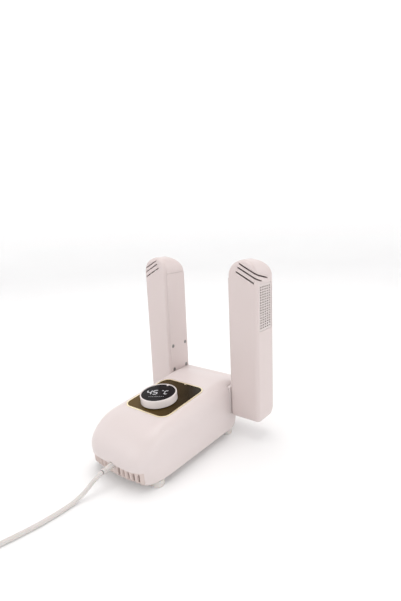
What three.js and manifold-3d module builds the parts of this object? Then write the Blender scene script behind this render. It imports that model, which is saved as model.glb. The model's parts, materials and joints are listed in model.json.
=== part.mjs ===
// Folding shoe dryer: a loaf-shaped blower body with two hollow arms that fold forward beside it.
// Millimetres, +Z up, +Y to the rear, origin on the floor below the middle of the object.
import * as THREE from 'three';
import { mergeVertices } from 'three/addons/utils/BufferGeometryUtils.js';
import Module from 'manifold-3d';

const wasm = await Module();
wasm.setup();

// ---- driving dimensions ----
const gap = 0.3; // between pieces that touch
const wall = 2.5; // casing walls
const footHeight = 9;
const bodyLength = 240; // front of the casing to the rear of the hub block
const bodyWidth = 122;
const panelHeight = 79.7; // casing top at the middle of the panel
const topSlope = 5.1; // degrees, the top rises to the rear
const armSection = 50; // width and depth of an arm
const armGap = 0.5; // between an arm and the body
const armTop = 277;
const armBottom = 31;
const armWall = 2.2;
const pivotHeight = 56;
const collarRadius = 15; // hollow pivot that carries the air into an arm
const hubMargin = 7; // hub block above and below the collar
const bushWall = 2.5;
const panelWidth = 83;
const panelLength = 95;
const panelY = -12;
const knobSetback = 12.5; // the knob stands this far in front of the panel's middle
const knobRadius = 27.2;
const knobHeight = 13;
const knobTravel = 0.8;
const fanSize = 60;
const fanDepth = 25;
const fanY = 20;
const heaterDepth = 14;
const boardSetback = 54; // middle of the mains board, from the front
const grilleHalf = 50;
const grilleTop = 27;
const grilleRecess = 3.5;
const exitHeight = 25;
const cordRadius = 2.75;
const footRadius = 9;
const footSetback = 31.5; // front feet, from the front of the casing
const screwSetback = 50; // front case screws
const undercutSetback = 16; // wall under the hub block, behind the block's front
const undercutRadius = 14;

// ---- values worked out from them ----
const bodyHalf = bodyWidth / 2;
const frontY = -bodyLength / 2;
const rearY = bodyLength / 2;
const slope = THREE.MathUtils.degToRad(topSlope);
const armInner = bodyHalf + armGap;
const armOuter = armInner + armSection;
const armRear = rearY;
const armFront = armRear - armSection;
const pivotY = (armFront + armRear) / 2;
const hubFront = armFront;
const hubBottom = pivotHeight - collarRadius - hubMargin;
const hubTop = pivotHeight + collarRadius + hubMargin;
const undercutWall = hubFront + undercutSetback;
const knobY = panelY - knobSetback;
const floorTop = footHeight + 3; // upper face of the tray's floor
const topAt = (y) => panelHeight + Math.tan(slope) * (y - panelY);

// ---- materials ----
const finish = (color, roughness, metalness = 0) =>
  new THREE.MeshStandardMaterial({ color, roughness, metalness });
const whiteGloss = finish(0xf1ebe9, 0.35);
const whiteMatt = finish(0xe9e4e1, 0.6);
const blackGlass = finish(0x17130f, 0.08);
const gold = finish(0xd8bf7a, 0.3, 0.9);
const softRubber = finish(0xdedad6, 0.8);
const darkRubber = finish(0x2b2b2c, 0.85);
const steel = finish(0xb9bcc0, 0.35, 0.9);
const darkPlastic = finish(0x232428, 0.6);
const boardGreen = finish(0x1f5a3a, 0.5);
const aluminium = finish(0xc4c6c8, 0.4, 0.9);
const brass = finish(0xc9a24e, 0.3, 0.9);
const cordWhite = finish(0xe4dfdb, 0.55);

// ---- solids ----
const owned = (geometry) => {
  const bare = geometry.clone();
  for (const name of Object.keys(bare.attributes)) if (name !== 'position') bare.deleteAttribute(name);
  return mergeVertices(bare, 1e-4);
};
const solid = (geometry) => {
  const g = owned(geometry);
  const vertProperties = new Float32Array(g.attributes.position.array);
  const triVerts = new Uint32Array(g.index.array);
  return new wasm.Manifold(new wasm.Mesh({ numProp: 3, vertProperties, triVerts }));
};
const surface = (body) => {
  const { vertProperties, triVerts } = body.getMesh();
  const g = new THREE.BufferGeometry();
  g.setAttribute('position', new THREE.BufferAttribute(new Float32Array(vertProperties), 3));
  g.setIndex([...triVerts]);
  g.computeVertexNormals();
  return g;
};
const join = (first, ...rest) => rest.reduce((all, s) => all.add(s), first);
const cut = (first, ...rest) => rest.reduce((left, s) => left.subtract(s), first);

const box = (x0, x1, y0, y1, z0, z1) => {
  const g = new THREE.BoxGeometry(x1 - x0, y1 - y0, z1 - z0);
  return solid(g.translate((x0 + x1) / 2, (y0 + y1) / 2, (z0 + z1) / 2));
};
// A cylinder along an axis, from a to b on that axis, centred on the other two coordinates.
const turns = { x: (g) => g.rotateZ(-Math.PI / 2), y: (g) => g, z: (g) => g.rotateX(Math.PI / 2) };
const rod = (axis, a, b, [p, q], radius, sides = 24) => {
  const g = turns[axis](new THREE.CylinderGeometry(radius, radius, b - a, sides));
  const m = (a + b) / 2;
  const at = { x: [m, p, q], y: [p, m, q], z: [p, q, m] }[axis];
  return solid(g.translate(...at));
};
const tube = (axis, a, b, at, outer, inner, sides = 24) =>
  cut(rod(axis, a, b, at, outer, sides), rod(axis, a - 1, b + 1, at, inner, sides));
const prism = (outline, depth) => new THREE.ExtrudeGeometry(outline, { depth, bevelEnabled: false });
// An outline in X and Y, raised from z0 to z1.
const raised = (outline, z0, z1) => solid(prism(outline, z1 - z0).translate(0, 0, z0));
// An outline in Y and Z, drawn from x0 to x1.
const across = (outline, x0, x1) => {
  const turn = new THREE.Matrix4().makeBasis(
    new THREE.Vector3(0, 1, 0), new THREE.Vector3(0, 0, 1), new THREE.Vector3(1, 0, 0));
  return solid(prism(outline, x1 - x0).applyMatrix4(turn).translate(x0, 0, 0));
};
// An outline in X and Z, drawn from y0 to y1.
const along = (outline, y0, y1) => {
  const turn = new THREE.Matrix4().makeBasis(
    new THREE.Vector3(1, 0, 0), new THREE.Vector3(0, 0, 1), new THREE.Vector3(0, -1, 0));
  return solid(prism(outline, y1 - y0).applyMatrix4(turn).translate(0, y1, 0));
};
// A rectangle whose corners, from the lower left one and anticlockwise, have their own radii.
const rounded = (x0, x1, y0, y1, radii) => {
  const [a, b, c, d] = Array.isArray(radii) ? radii : [radii, radii, radii, radii];
  const s = new THREE.Shape();
  const corners = [
    [x0 + a, y0 + a, a, 180], [x1 - b, y0 + b, b, 270], [x1 - c, y1 - c, c, 0], [x0 + d, y1 - d, d, 90],
  ];
  for (const [x, y, r, start] of corners) {
    const steps = r > 8 ? 8 : 4;
    for (let i = 0; i <= steps; i += 1) {
      const turn = THREE.MathUtils.degToRad(start + (90 * i) / steps);
      const [px, py] = [x + r * Math.cos(turn), y + r * Math.sin(turn)];
      if (s.curves.length || i) s.lineTo(px, py);
      else s.moveTo(px, py);
    }
  }
  return s;
};
const mirrored = (geometry) => {
  const g = owned(geometry).applyMatrix4(new THREE.Matrix4().makeScale(-1, 1, 1));
  const index = [...g.index.array];
  for (let i = 0; i < index.length; i += 3) [index[i], index[i + 1]] = [index[i + 1], index[i]];
  g.setIndex(index);
  g.computeVertexNormals();
  return g;
};

const dryer = new THREE.Group();
const put = (name, shape, material, parent = dryer) => {
  const geometry = shape.isBufferGeometry ? shape : surface(shape);
  const mesh = new THREE.Mesh(geometry, material);
  mesh.name = name;
  parent.add(mesh);
  return mesh;
};

// ---- the loaf: outline in plan, and the domed casing over it ----
const frontSpan = 60; // the rounded front end of the outline
const rearSpan = 58;
const outlinePower = 3.4;
const coreHalf = 38; // half-width of the flat top
const endCore = 0.08; // how far the flat top follows the rounded ends
const shoulderDrop = { side: 26, front: 43, rear: 44 };
const shoulderPower = 2.2;
const wallDraft = 1.2;
const loafRear = rearY - 2;

// Superellipse ends on straight sides: x = a c^(2/p), y = centre + b s^(2/p).
const outlinePoints = (inset, steps = 12) => {
  const points = [];
  const power = (v) => Math.sign(v) * Math.abs(v) ** (2 / outlinePower);
  for (const end of [1, -1]) {
    const centre = end > 0 ? loafRear - rearSpan : frontY + frontSpan;
    const span = (end > 0 ? rearSpan : frontSpan) - inset;
    for (let i = 0; i <= steps; i += 1) {
      const turn = Math.PI * (i / steps + (end > 0 ? 0 : 1));
      const [c, s] = [Math.cos(turn), Math.sin(turn)].map((v) => (Math.abs(v) < 1e-9 ? 0 : v));
      points.push({ x: (bodyHalf - inset) * power(c), y: centre + span * power(s), centre, end, s });
    }
  }
  return points;
};
const outlineShape = (inset) => new THREE.Shape(
  outlinePoints(inset).map((p) => new THREE.Vector2(p.x, p.y)));
// Rings from the rim up the drafted wall and round the shoulder to the flat top.
const loaf = (inset, bottom) => {
  const rim = outlinePoints(inset);
  const rings = [];
  const shoulderSteps = 8;
  const ring = (spread, height) => rim.map((p) => {
    const core = { x: (coreHalf * p.x) / (bodyHalf - inset), y: p.centre + (p.y - p.centre) * endCore };
    const run = Math.hypot(p.x - core.x, p.y - core.y);
    const share = spread(1 - (wallDraft * (1 - p.s * p.s)) / run);
    const [x, y] = [core.x + (p.x - core.x) * share, core.y + (p.y - core.y) * share];
    const end = p.end > 0 ? shoulderDrop.rear : shoulderDrop.front;
    const drop = shoulderDrop.side + (end - shoulderDrop.side) * p.s * p.s;
    return new THREE.Vector3(x, y, height(topAt(y) - inset, drop));
  });
  rings.push(ring(() => 1, () => bottom));
  for (let k = 0; k <= shoulderSteps; k += 1) {
    const turn = (Math.PI / 2) * (k / shoulderSteps);
    const inward = k === shoulderSteps ? 0 : Math.cos(turn) ** (2 / shoulderPower);
    const upward = Math.sin(turn) ** (2 / shoulderPower);
    rings.push(ring((drafted) => inward * drafted, (top, drop) => top - drop * (1 - upward)));
  }
  const n = rim.length;
  const points = rings.flat();
  const index = [];
  for (let k = 0; k + 1 < rings.length; k += 1) {
    for (let i = 0; i < n; i += 1) {
      const j = (i + 1) % n;
      const [a, b, c, d] = [k * n + i, k * n + j, (k + 1) * n + j, (k + 1) * n + i];
      index.push(a, b, c, a, c, d);
    }
  }
  const cap = (ringStart, up) => {
    const flat = points.slice(ringStart, ringStart + n).map((p) => new THREE.Vector2(p.x, p.y));
    for (const [a, b, c] of THREE.ShapeUtils.triangulateShape(flat, [])) {
      index.push(ringStart + a, ringStart + (up ? b : c), ringStart + (up ? c : b));
    }
  };
  cap(0, false);
  cap((rings.length - 1) * n, true);
  const g = new THREE.BufferGeometry().setFromPoints(points);
  g.setIndex(index);
  return solid(g);
};

// Half-width of a loaf's shoulder at a place along it and a height.
const shoulderHalf = (inset, y, z) => {
  const rise = (z - topAt(y) + inset + shoulderDrop.side) / shoulderDrop.side;
  const turn = Math.asin(Math.max(rise, 0) ** (shoulderPower / 2));
  return coreHalf + (bodyHalf - inset - coreHalf - wallDraft) * Math.cos(turn) ** (2 / shoulderPower);
};

// ---- the rear underside, rounded up to a wall below the hub block ----
const undercut = (inset) => {
  const r = undercutRadius - inset;
  const [cy, cz] = [undercutWall - undercutRadius, footHeight + undercutRadius];
  const [above, below, beyond] = [hubBottom + 30, footHeight - 8, rearY + 20];
  const s = new THREE.Shape();
  s.moveTo(cy, footHeight + inset);
  for (let i = 1; i <= 8; i += 1) {
    const turn = (Math.PI / 2) * (i / 8);
    s.lineTo(cy + r * Math.sin(turn), cz - r * Math.cos(turn));
  }
  s.lineTo(cy + r, above);
  s.lineTo(beyond, above);
  s.lineTo(beyond, below);
  s.lineTo(cy, below);
  return across(s, -bodyHalf - 5, bodyHalf + 5);
};
const wide = bodyHalf + 29; // half-width of a cutter that passes right through
const hubSpace = box(-wide, wide, hubFront - gap, rearY + 20, hubBottom - gap, hubTop + gap);
const undercutOnly = (inset) => undercut(inset).intersect(
  box(-wide, wide, 0, rearY + 30, -5, hubBottom - gap));

// ---- upper shell ----
const reliefRadius = 4.3;
const cordExit = rod('y', frontY - 9, frontY + 20, [0, exitHeight], reliefRadius + gap + 0.1, 16);
// Points mirrored about X = 0, at a front and a rear place.
const fourPoints = (x, front, rear) => [[-x, front], [x, front], [-x, rear], [x, rear]];
const bossXY = fourPoints(bodyHalf - 17, frontY + screwSetback, fanY + 28);
const bossRadius = 4;
const panelMatrix = new THREE.Matrix4().makeRotationX(slope).setPosition(0, panelY, panelHeight);
const onPanel = (body) => solid(surface(body).applyMatrix4(panelMatrix));
const panelCorner = 14;
const panelOutline = (inset) => {
  const [x, y] = [panelWidth / 2 - inset, panelLength / 2 - inset];
  return rounded(-x, x, -y, y, panelCorner - inset);
};
const knobLocalY = (knobY - panelY) / Math.cos(slope);
const panelThickness = 1.2;
const boardDepth = 12; // under the panel's face
const encoderHole = 17; // in the shell, below the panel
const standoffs = fourPoints(26, -20, 20);

const upperShell = () => {
  const outer = cut(loaf(0, footHeight), undercutOnly(0));
  let shell = cut(outer, loaf(wall, footHeight - 4));
  const posts = bossXY.map(([x, y]) => rod('z', floorTop + gap, panelHeight + 4, [x, y], bossRadius, 12));
  shell = join(shell, ...posts.map((p) => p.intersect(outer)));
  const holes = bossXY.map(([x, y]) => rod('z', floorTop, floorTop + 14, [x, y], 1.6, 10));
  const recess = onPanel(raised(panelOutline(-gap), -panelThickness - gap, 12));
  const well = onPanel(rod('z', -10, 10, [0, knobLocalY], encoderHole, 28));
  const legs = standoffs.map(([x, y]) => onPanel(
    rod('z', -boardDepth + gap, -panelThickness - 1, [x, knobLocalY + y], 2.5, 10)));
  const band = box(-grilleHalf, grilleHalf, frontY - 8, frontY + 32, footHeight - 3, grilleTop);
  return cut(join(cut(shell, recess), ...legs), well, band, cordExit, hubSpace, ...holes);
};

// ---- base tray: floor, rim and the rear lower wall ----
const footInset = 6.74; // from the outline beside the front feet
const frontShare = ((frontSpan - footSetback) / frontSpan) ** outlinePower;
const footX = bodyHalf * (1 - frontShare) ** (1 / outlinePower) - footInset;
const feetXY = fourPoints(footX, frontY + footSetback, undercutWall - undercutRadius - 3);
const stemRadius = 2.6;
const screwRadius = 1.5;
const screwHead = 3;
const frontDepth = 32; // how far back the intake opening is cut
const inside = (inset, z0, z1) => raised(outlineShape(inset), z0, z1);
const baseTray = () => {
  const edge = wall + gap;
  const front = box(-grilleHalf - gap, grilleHalf + gap, frontY - 9, frontY + frontDepth, 0, 60);
  const notch = cut(front, inside(grilleRecess + edge, -1, 61));
  const floorPlate = cut(inside(edge, footHeight, floorTop), notch);
  const upright = edge + wallDraft;
  const rim = cut(inside(upright, floorTop - 1, floorTop + 8), inside(upright + 2, 0, 60),
    box(-wide, wide, frontY - 9, frontY + 40, 0, 60), box(-wide, wide, hubFront - 10, rearY + 80, 0, 60));
  const arcEnd = undercutWall - undercutRadius;
  const rearWall = cut(undercut(3), undercut(0)).intersect(inside(upright, footHeight, hubBottom - gap))
    .intersect(box(-wide, wide, arcEnd, undercutWall + 1, 0, hubBottom - gap));
  const holes = [
    ...feetXY.map(([x, y]) => rod('z', footHeight - 2, floorTop + 4, [x, y], stemRadius + gap, 12)),
    ...bossXY.map(([x, y]) => rod('z', footHeight - 2, floorTop + 4, [x, y], screwRadius + gap, 10)),
    ...bossXY.map(([x, y]) => rod('z', footHeight - 2, footHeight + 1.6, [x, y], 3.2 + gap, 14)),
  ];
  return cut(join(cut(floorPlate, undercut(0)), rim, rearWall), ...holes);
};

// ---- intake grille: ribbed band, set back below the front edge of the shell ----
const ribPitch = 8.8;
const ribSlot = 3;
const ribCount = 11;
const intakeGrille = () => {
  const half = grilleHalf - gap;
  const zone = (x, z0, z1, depth = frontDepth - gap) => box(-x, x, frontY - 9, frontY + depth, z0, z1);
  const ring = (outer, inner) => cut(inside(outer, 0, 60), inside(inner, -1, 61));
  const bandZone = zone(half, footHeight + gap, grilleTop - gap);
  const band = ring(grilleRecess, grilleRecess + wall).intersect(bandZone);
  const behind = wall + wallDraft + gap + 0.8; // clear of the shell's inner face
  const lip = ring(behind, behind + 4).intersect(zone(half, grilleTop - 3, grilleTop + 2.5));
  const ledge = ring(grilleRecess, behind + 4).intersect(zone(half, grilleTop - 2.5, grilleTop - gap));
  const returnZone = zone(half + 3, floorTop + gap, grilleTop, 22);
  const returns = ring(behind, behind + wall).intersect(returnZone);
  const ends = cut(returns, zone(half - 1.5, 0, 60));
  const slots = [];
  for (let i = 0; i < ribCount; i += 1) {
    const x = (i - (ribCount - 1) / 2) * ribPitch;
    const [y0, y1] = [frontY - 9, frontY + frontDepth];
    if (Math.abs(x) > reliefRadius + 2) {
      slots.push(box(x - ribSlot / 2, x + ribSlot / 2, y0, y1, floorTop, grilleTop - 2.5));
    }
  }
  return cut(join(band, lip, ledge, ends), cordExit, ...slots);
};

// ---- hub block: air chamber between the arms, open to the front ----
const bushOuter = collarRadius + gap + bushWall;
const hubWall = 3;
const hubHousing = () => {
  const profile = rounded(hubFront, rearY, hubBottom, hubTop, [2, 18, 5, 1]);
  const hollow = rounded(hubFront - 9, rearY - hubWall, hubBottom + hubWall, hubTop - hubWall, [1, 15, 3, 1]);
  const inner = bodyHalf - hubWall;
  const bores = [[-bodyHalf - 2, -inner + 1], [inner - 1, bodyHalf + 2]].map(([a, b]) =>
    rod('x', a, b, [pivotY, pivotHeight], bushOuter + gap, 24));
  return cut(across(profile, -bodyHalf, bodyHalf), across(hollow, -inner, inner), ...bores);
};

// ---- control panel and knob, on the sloped top ----
const bezelRim = 2;
const panelBezel = () => cut(raised(panelOutline(0), -panelThickness, 0.4),
  raised(panelOutline(bezelRim), -panelThickness - 1, 2));
const sleeve = { outer: 11, inner: 8.3, bottom: -6 };
const controlPanel = () => cut(raised(panelOutline(bezelRim + gap), -panelThickness, 0.1),
  rod('z', -5, 5, [0, knobLocalY], sleeve.outer + 1.5, 24));
const knobBase = knobTravel + 0.6;
const knobRim = 1.9;
const latheSolid = (profile, sides = 32) => {
  const points = profile.map(([r, z]) => new THREE.Vector2(r, z));
  points.push(points[0].clone());
  return solid(new THREE.LatheGeometry(points, sides).rotateX(Math.PI / 2));
};
const knobRing = () => {
  const r = knobRadius;
  const ring = latheSolid([
    [sleeve.inner, sleeve.bottom], [sleeve.outer, sleeve.bottom], [sleeve.outer, 2.2], [r - knobRim, 2.2],
    [r - knobRim, knobBase], [r - 0.5, knobBase], [r, knobBase + 0.5], [r, knobHeight - 0.8],
    [r - 0.8, knobHeight], [r - knobRim, knobHeight], [r - knobRim, 4], [sleeve.inner, 4],
  ]);
  const pointer = box(-1.6, 1.6, r - 5, r - 1, knobHeight - 0.4, knobHeight + 0.4);
  return join(ring, pointer);
};
const lensTop = knobHeight - 0.7;
const displayLens = () => rod('z', lensTop - 1.5, lensTop, [0, 0], knobRadius - knobRim - gap, 32);
const moduleBottom = 4.8;
const displayModule = () => box(-16, 16, -8, 8, moduleBottom, lensTop - 1.5 - gap);
const displayStem = () => rod('z', -boardDepth + 3.6, moduleBottom - gap, [0, 0], 6, 20);
const encoderOuter = 15.5;
const encoderBody = () => latheSolid([
  [sleeve.outer + gap, -boardDepth + 1.9], [encoderOuter, -boardDepth + 1.9],
  [encoderOuter, -3], [sleeve.outer + gap, -3],
], 28);
const controlBoard = () => box(-31, 31, -25, 25, -boardDepth - 1.6, -boardDepth)
  .translate([0, knobLocalY, 0]);
const pressSwitch = () => box(-3, 3, -3, 3, -boardDepth + gap, -boardDepth + 2.4)
  .translate([0, knobLocalY, 0]);

// ---- fan, heater and duct ----
const fanMiddle = floorTop + gap + fanSize / 2;
const fanBore = fanSize / 2 - 1.6;
const fanFrame = () => {
  const [y0, y1] = [fanY - fanDepth / 2, fanY + fanDepth / 2];
  const side = fanSize / 2;
  const outer = box(-side, side, y0, y1, fanMiddle - side, fanMiddle + side);
  const hole = rod('y', y0 - 1, y1 + 1, [0, fanMiddle], fanBore, 36);
  const plate = rod('y', y1 - fanPlate, y1, [0, fanMiddle], 12, 20);
  const struts = [0, 90, 180, 270].map((turn) => {
    const g = new THREE.BoxGeometry(side + 2, fanPlate, 3).translate((side + 2) / 2, 0, 0)
      .rotateY(THREE.MathUtils.degToRad(turn + 45)).translate(0, y1 - fanPlate / 2, fanMiddle);
    return solid(g).intersect(outer);
  });
  return join(cut(outer, hole), plate, ...struts);
};
const fanHub = 14.5;
const fanFront = fanY - fanDepth / 2 + 2;
const fanPlate = 2.5; // motor plate and struts at the rear of the frame
const fanMotor = () => rod(
  'y', fanFront + 2.2, fanY + fanDepth / 2 - fanPlate - gap, [0, fanMiddle], fanHub - 2.2, 24);
const fanImpeller = () => {
  const back = fanY + fanDepth / 2 - 4;
  const cup = cut(rod('y', fanFront, back, [0, fanMiddle], fanHub, 28),
    rod('y', fanFront + 1.8, back + 1, [0, fanMiddle], fanHub - 1.6, 28));
  const blades = [];
  const count = 7;
  for (let i = 0; i < count; i += 1) {
    const reach = fanBore - 1 - fanHub;
    const g = new THREE.BoxGeometry(reach + 1, 17, 1.3).rotateX(THREE.MathUtils.degToRad(42))
      .translate(fanHub + reach / 2 - 0.5, 0, 0)
      .rotateY((2 * Math.PI * i) / count).translate(0, (fanFront + back) / 2, fanMiddle);
    blades.push(solid(g));
  }
  return join(cup, ...blades);
};
const heaterFront = fanY + fanDepth / 2 + gap;
const heaterRear = heaterFront + heaterDepth;
const heaterWall = 4;
const heaterFrame = () => {
  const block = (half, extra) => box(
    -half, half, heaterFront - extra, heaterRear + extra, fanMiddle - half, fanMiddle + half);
  return cut(block(fanSize / 2, 0), block(fanSize / 2 - heaterWall, 1));
};
const heaterCore = () => {
  const half = fanSize / 2 - heaterWall - gap;
  const [z0, z1] = [fanMiddle - half, fanMiddle + half];
  const [y0, y1] = [heaterFront + 1, heaterRear - 1];
  const bars = [box(-half, half, y0, y1, z0, z0 + 3), box(-half, half, y0, y1, z1 - 3, z1)];
  bars.push(box(-half, half, y0, y1, fanMiddle - 2, fanMiddle + 2));
  const fins = 11;
  for (let i = 0; i < fins; i += 1) {
    const x = -half + 0.6 + ((2 * half - 1.2) * i) / (fins - 1);
    bars.push(box(x - 0.6, x + 0.6, y0, y1, z0 + 1, z1 - 1));
  }
  return join(...bars);
};
const thermalCutoff = () => rod('z', fanMiddle + fanSize / 2 + gap, fanMiddle + fanSize / 2 + 4,
  [0, (heaterFront + heaterRear) / 2], 5.5, 16);
const ductWall = 1.5;
const ductClearance = 0.9; // inside the shell's shoulder
const airDuct = () => {
  // A four-sided funnel: corners at the heater, then at the hub block.
  const funnel = (inset, extra) => {
    const [side, top] = [fanSize / 2, hubTop - 5.5];
    const rearHalf = shoulderHalf(wall, hubFront, top) - ductClearance;
    const ends = [
      { y: heaterRear + gap - extra, x: side, z0: fanMiddle - side, z1: fanMiddle + side },
      { y: hubFront - gap + extra, x: rearHalf, z0: hubBottom + 4, z1: top },
    ];
    const points = ends.flatMap(({ y, x, z0, z1 }) => [
      new THREE.Vector3(-x + inset, y, z0 + inset), new THREE.Vector3(x - inset, y, z0 + inset),
      new THREE.Vector3(x - inset, y, z1 - inset), new THREE.Vector3(-x + inset, y, z1 - inset)]);
    const sides = [0, 1, 2, 3].flatMap((i) => {
      const j = (i + 1) % 4;
      return [i, i + 4, j + 4, i, j + 4, j];
    });
    const g = new THREE.BufferGeometry().setFromPoints(points);
    g.setIndex([0, 1, 2, 0, 2, 3, 4, 6, 5, 4, 7, 6, ...sides]);
    return solid(g);
  };
  return cut(funnel(0, 0), funnel(ductWall, 0.01));
};
// Mains board: drawn about its own middle, with a transformer, a fuse holder, a relay and a capacitor.
const powerBoard = () => {
  const [x, y, z] = [38, 26, floorTop + 5];
  const legs = fourPoints(x - 8, -y + 6, y - 6).map((at) => rod('z', floorTop + gap, z + 0.5, at, 2.5, 10));
  const plate = box(-x, x, -y, y, z, z + 1.6);
  const parts = [
    box(-30, -8, -18, 6, z + 1, z + 18), box(0, 14, -22, -10, z + 1, z + 14),
    box(4, 30, 4, 20, z + 1, z + 12), rod('z', z + 1, z + 17, [24, -10], 6, 16),
  ];
  return join(plate, ...legs, ...parts).translate([0, frontY + boardSetback, 0]);
};

// ---- feet and case screws ----
const foot = () => latheSolid([
  [0, 0], [footRadius - 1.5, 0], [footRadius, 1.5], [footRadius, footHeight - gap],
  [stemRadius, footHeight - gap], [stemRadius, floorTop + 2.5], [0, floorTop + 2.5],
], 16);
const caseScrew = () => latheSolid([
  [0, footHeight + 0.1], [3.2, footHeight + 0.1], [3.2, footHeight + 1.3], [1.3, footHeight + 1.3],
  [1.3, floorTop + 12], [0, floorTop + 12],
], 8);

// ---- arms, built on the right and mirrored to the left ----
const tipRadius = armSection / 2;
const armMiddle = (armInner + armOuter) / 2;
const edgeRadius = 6;
const tipRear = 30; // the tip falls away to the rear
const armSolid = (inset) => {
  const arch = new THREE.Shape();
  const [x0, x1] = [armInner + inset, armOuter - inset];
  const [low, spring, r] = [armBottom + inset, armTop - tipRadius, tipRadius - inset];
  arch.moveTo(x0, low + 3);
  arch.lineTo(x0 + 3, low);
  arch.lineTo(x1 - 3, low);
  arch.lineTo(x1, low + 3);
  for (let i = 0; i <= 12; i += 1) {
    const turn = (Math.PI * i) / 12;
    arch.lineTo(armMiddle + r * Math.cos(turn), spring + r * Math.sin(turn));
  }
  const side = rounded(armFront + inset, armRear - inset, low, armTop + 1 - inset, [6, 14, tipRear, 11]);
  const plan = rounded(x0, x1, armFront + inset, armRear - inset, Math.max(edgeRadius - inset, 2));
  return along(arch, armFront - 1, armRear + 1).intersect(across(side, armInner - 1, armOuter + 1))
    .intersect(raised(plan, armBottom - 1, armTop + 1));
};
// Perforated part of the outer face.
const vent = { y0: armFront + 6.5, y1: armRear - 6.5, z0: armTop - 105, z1: armTop - 35 };
const coverDepth = armInner + armWall;
const armScrewZ = [pivotHeight + 25, pivotHeight + 67];
const armScrewYZ = armScrewZ.flatMap((z) => [[armFront + 9, z], [armRear - 9, z]]);
// Air slits: sloping slabs across the tip's front outer corner. Distances are from the inner side,
// the front face and the top of the tip.
const tipSlits = [
  { from: 15.5, to: 45.5, depth: 6, drop: 18.6 },
  { from: 18.5, to: 53, depth: 15, drop: 10.4 },
  { from: 20.5, to: 53, depth: 32, drop: 3.6 },
];
const slitWidth = 2.4;
const slitSlope = { x: -0.53, y: -0.25, origin: 18.5 };
const tipSlit = ({ from, to, depth, drop }) => {
  const lead = 5; // starts in front of the face
  const { x, y, origin } = slitSlope;
  const slab = new THREE.BoxGeometry(to - from, depth + lead, slitWidth)
    .translate(armInner + (from + to) / 2, armFront + (depth - lead) / 2, 0);
  const lift = armTop - drop - x * (armInner + origin) - y * armFront;
  return solid(slab.applyMatrix4(new THREE.Matrix4().set(1, 0, 0, 0, 0, 1, 0, 0, x, y, 1, lift, 0, 0, 0, 1)));
};
// Space of the inner side's opening, up to a height; the cover fills it but for a gap all round.
const coverTop = armTop - tipRadius - 2;
const coverSpace = (inset, top) => armSolid(inset).translate([-armWall * 2, 0, 0])
  .intersect(box(armInner - 2 * armWall, armOuter, armFront, armRear, armBottom, top));
const armShell = () => {
  const outer = armSolid(0);
  let shell = cut(outer, armSolid(armWall), coverSpace(armWall, coverTop));
  const bosses = armScrewYZ.map((at) => rod('x', coverDepth + gap, armOuter - 1, at, 3.2, 8));
  shell = join(shell, ...bosses.map((b) => b.intersect(outer)));
  const window = box(armOuter - armWall - 2, armOuter + 2, vent.y0, vent.y1, vent.z0, vent.z1);
  const holes = armScrewYZ.map(([y, z]) => rod('x', coverDepth, coverDepth + 14, [y, z], screwRadius, 8));
  return cut(shell, window, ...holes, ...tipSlits.map(tipSlit));
};
const armCover = () => {
  const plate = coverSpace(armWall + gap, coverTop - gap)
    .intersect(box(armInner, coverDepth, armFront, armRear, armBottom, armTop));
  const screws = armScrewYZ.map((at) => rod('x', armInner - 1, coverDepth + 1, at, screwRadius + gap, 6));
  const heads = armScrewYZ.map((at) => rod('x', armInner - 1, armInner + 1.2, at, screwHead + gap, 10));
  return cut(plate, rod('x', armInner - 1, coverDepth + 1, [pivotY, pivotHeight], collarRadius + gap, 24),
    ...screws, ...heads);
};
const armScrew = (at) => join(rod('x', armInner + 0.1, armInner + 1.1, at, screwHead, 10),
  rod('x', armInner + 1, coverDepth + 11, at, 1.2, 6));
const holePitch = 7;
const ventHole = 1.8;
const armVent = () => {
  const { y0, y1, z0, z1 } = vent;
  const plate = box(armOuter - armWall + gap, armOuter - 0.3, y0 + gap, y1 - gap, z0 + gap, z1 - gap);
  const holes = [];
  const columns = Math.floor((y1 - y0 - 4) / holePitch);
  const rows = Math.floor((z1 - z0 - 4) / holePitch);
  for (let i = 0; i < columns; i += 1) {
    for (let j = 0; j < rows; j += 1) {
      const y = pivotY + (i - (columns - 1) / 2) * holePitch;
      const z = (z0 + z1) / 2 + (j - (rows - 1) / 2) * holePitch;
      holes.push(rod('x', armOuter - armWall - 1, armOuter + 1, [y, z], ventHole, 5));
    }
  }
  return cut(plate, ...holes);
};
const flangeRadius = collarRadius + 4;
const collarEnd = bodyHalf - 9.5;
const pivotCollar = () => {
  const at = [pivotY, pivotHeight];
  const body = join(rod('x', collarEnd, coverDepth + gap + 2, at, collarRadius, 24),
    rod('x', coverDepth + gap, coverDepth + gap + 2.2, at, flangeRadius, 24));
  return cut(body, rod('x', collarEnd - 1, coverDepth + 4, at, collarRadius - 2.4, 24));
};
const bushLength = 5;
const pivotBush = () => tube(
  'x', bodyHalf - bushLength, bodyHalf, [pivotY, pivotHeight], bushOuter, collarRadius + gap);
const pivotRing = () => tube('x', bodyHalf - 9, bodyHalf - bushLength - gap,
  [pivotY, pivotHeight], collarRadius + 3.4, collarRadius + gap);

const makeArm = (side, flip) => {
  const place = (name, body, material) =>
    put(`${side}_${name}`, flip ? mirrored(surface(body)) : body, material);
  place('arm_shell', armShell(), whiteGloss);
  place('arm_cover', armCover(), whiteGloss);
  place('arm_vent', armVent(), whiteMatt);
  place('pivot_collar', pivotCollar(), darkPlastic);
  place('pivot_bush', pivotBush(), darkPlastic);
  place('retaining_ring', pivotRing(), steel);
  armScrewYZ.forEach((at, i) => place(`arm_screw_${i + 1}`, armScrew(at), steel));
};

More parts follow.
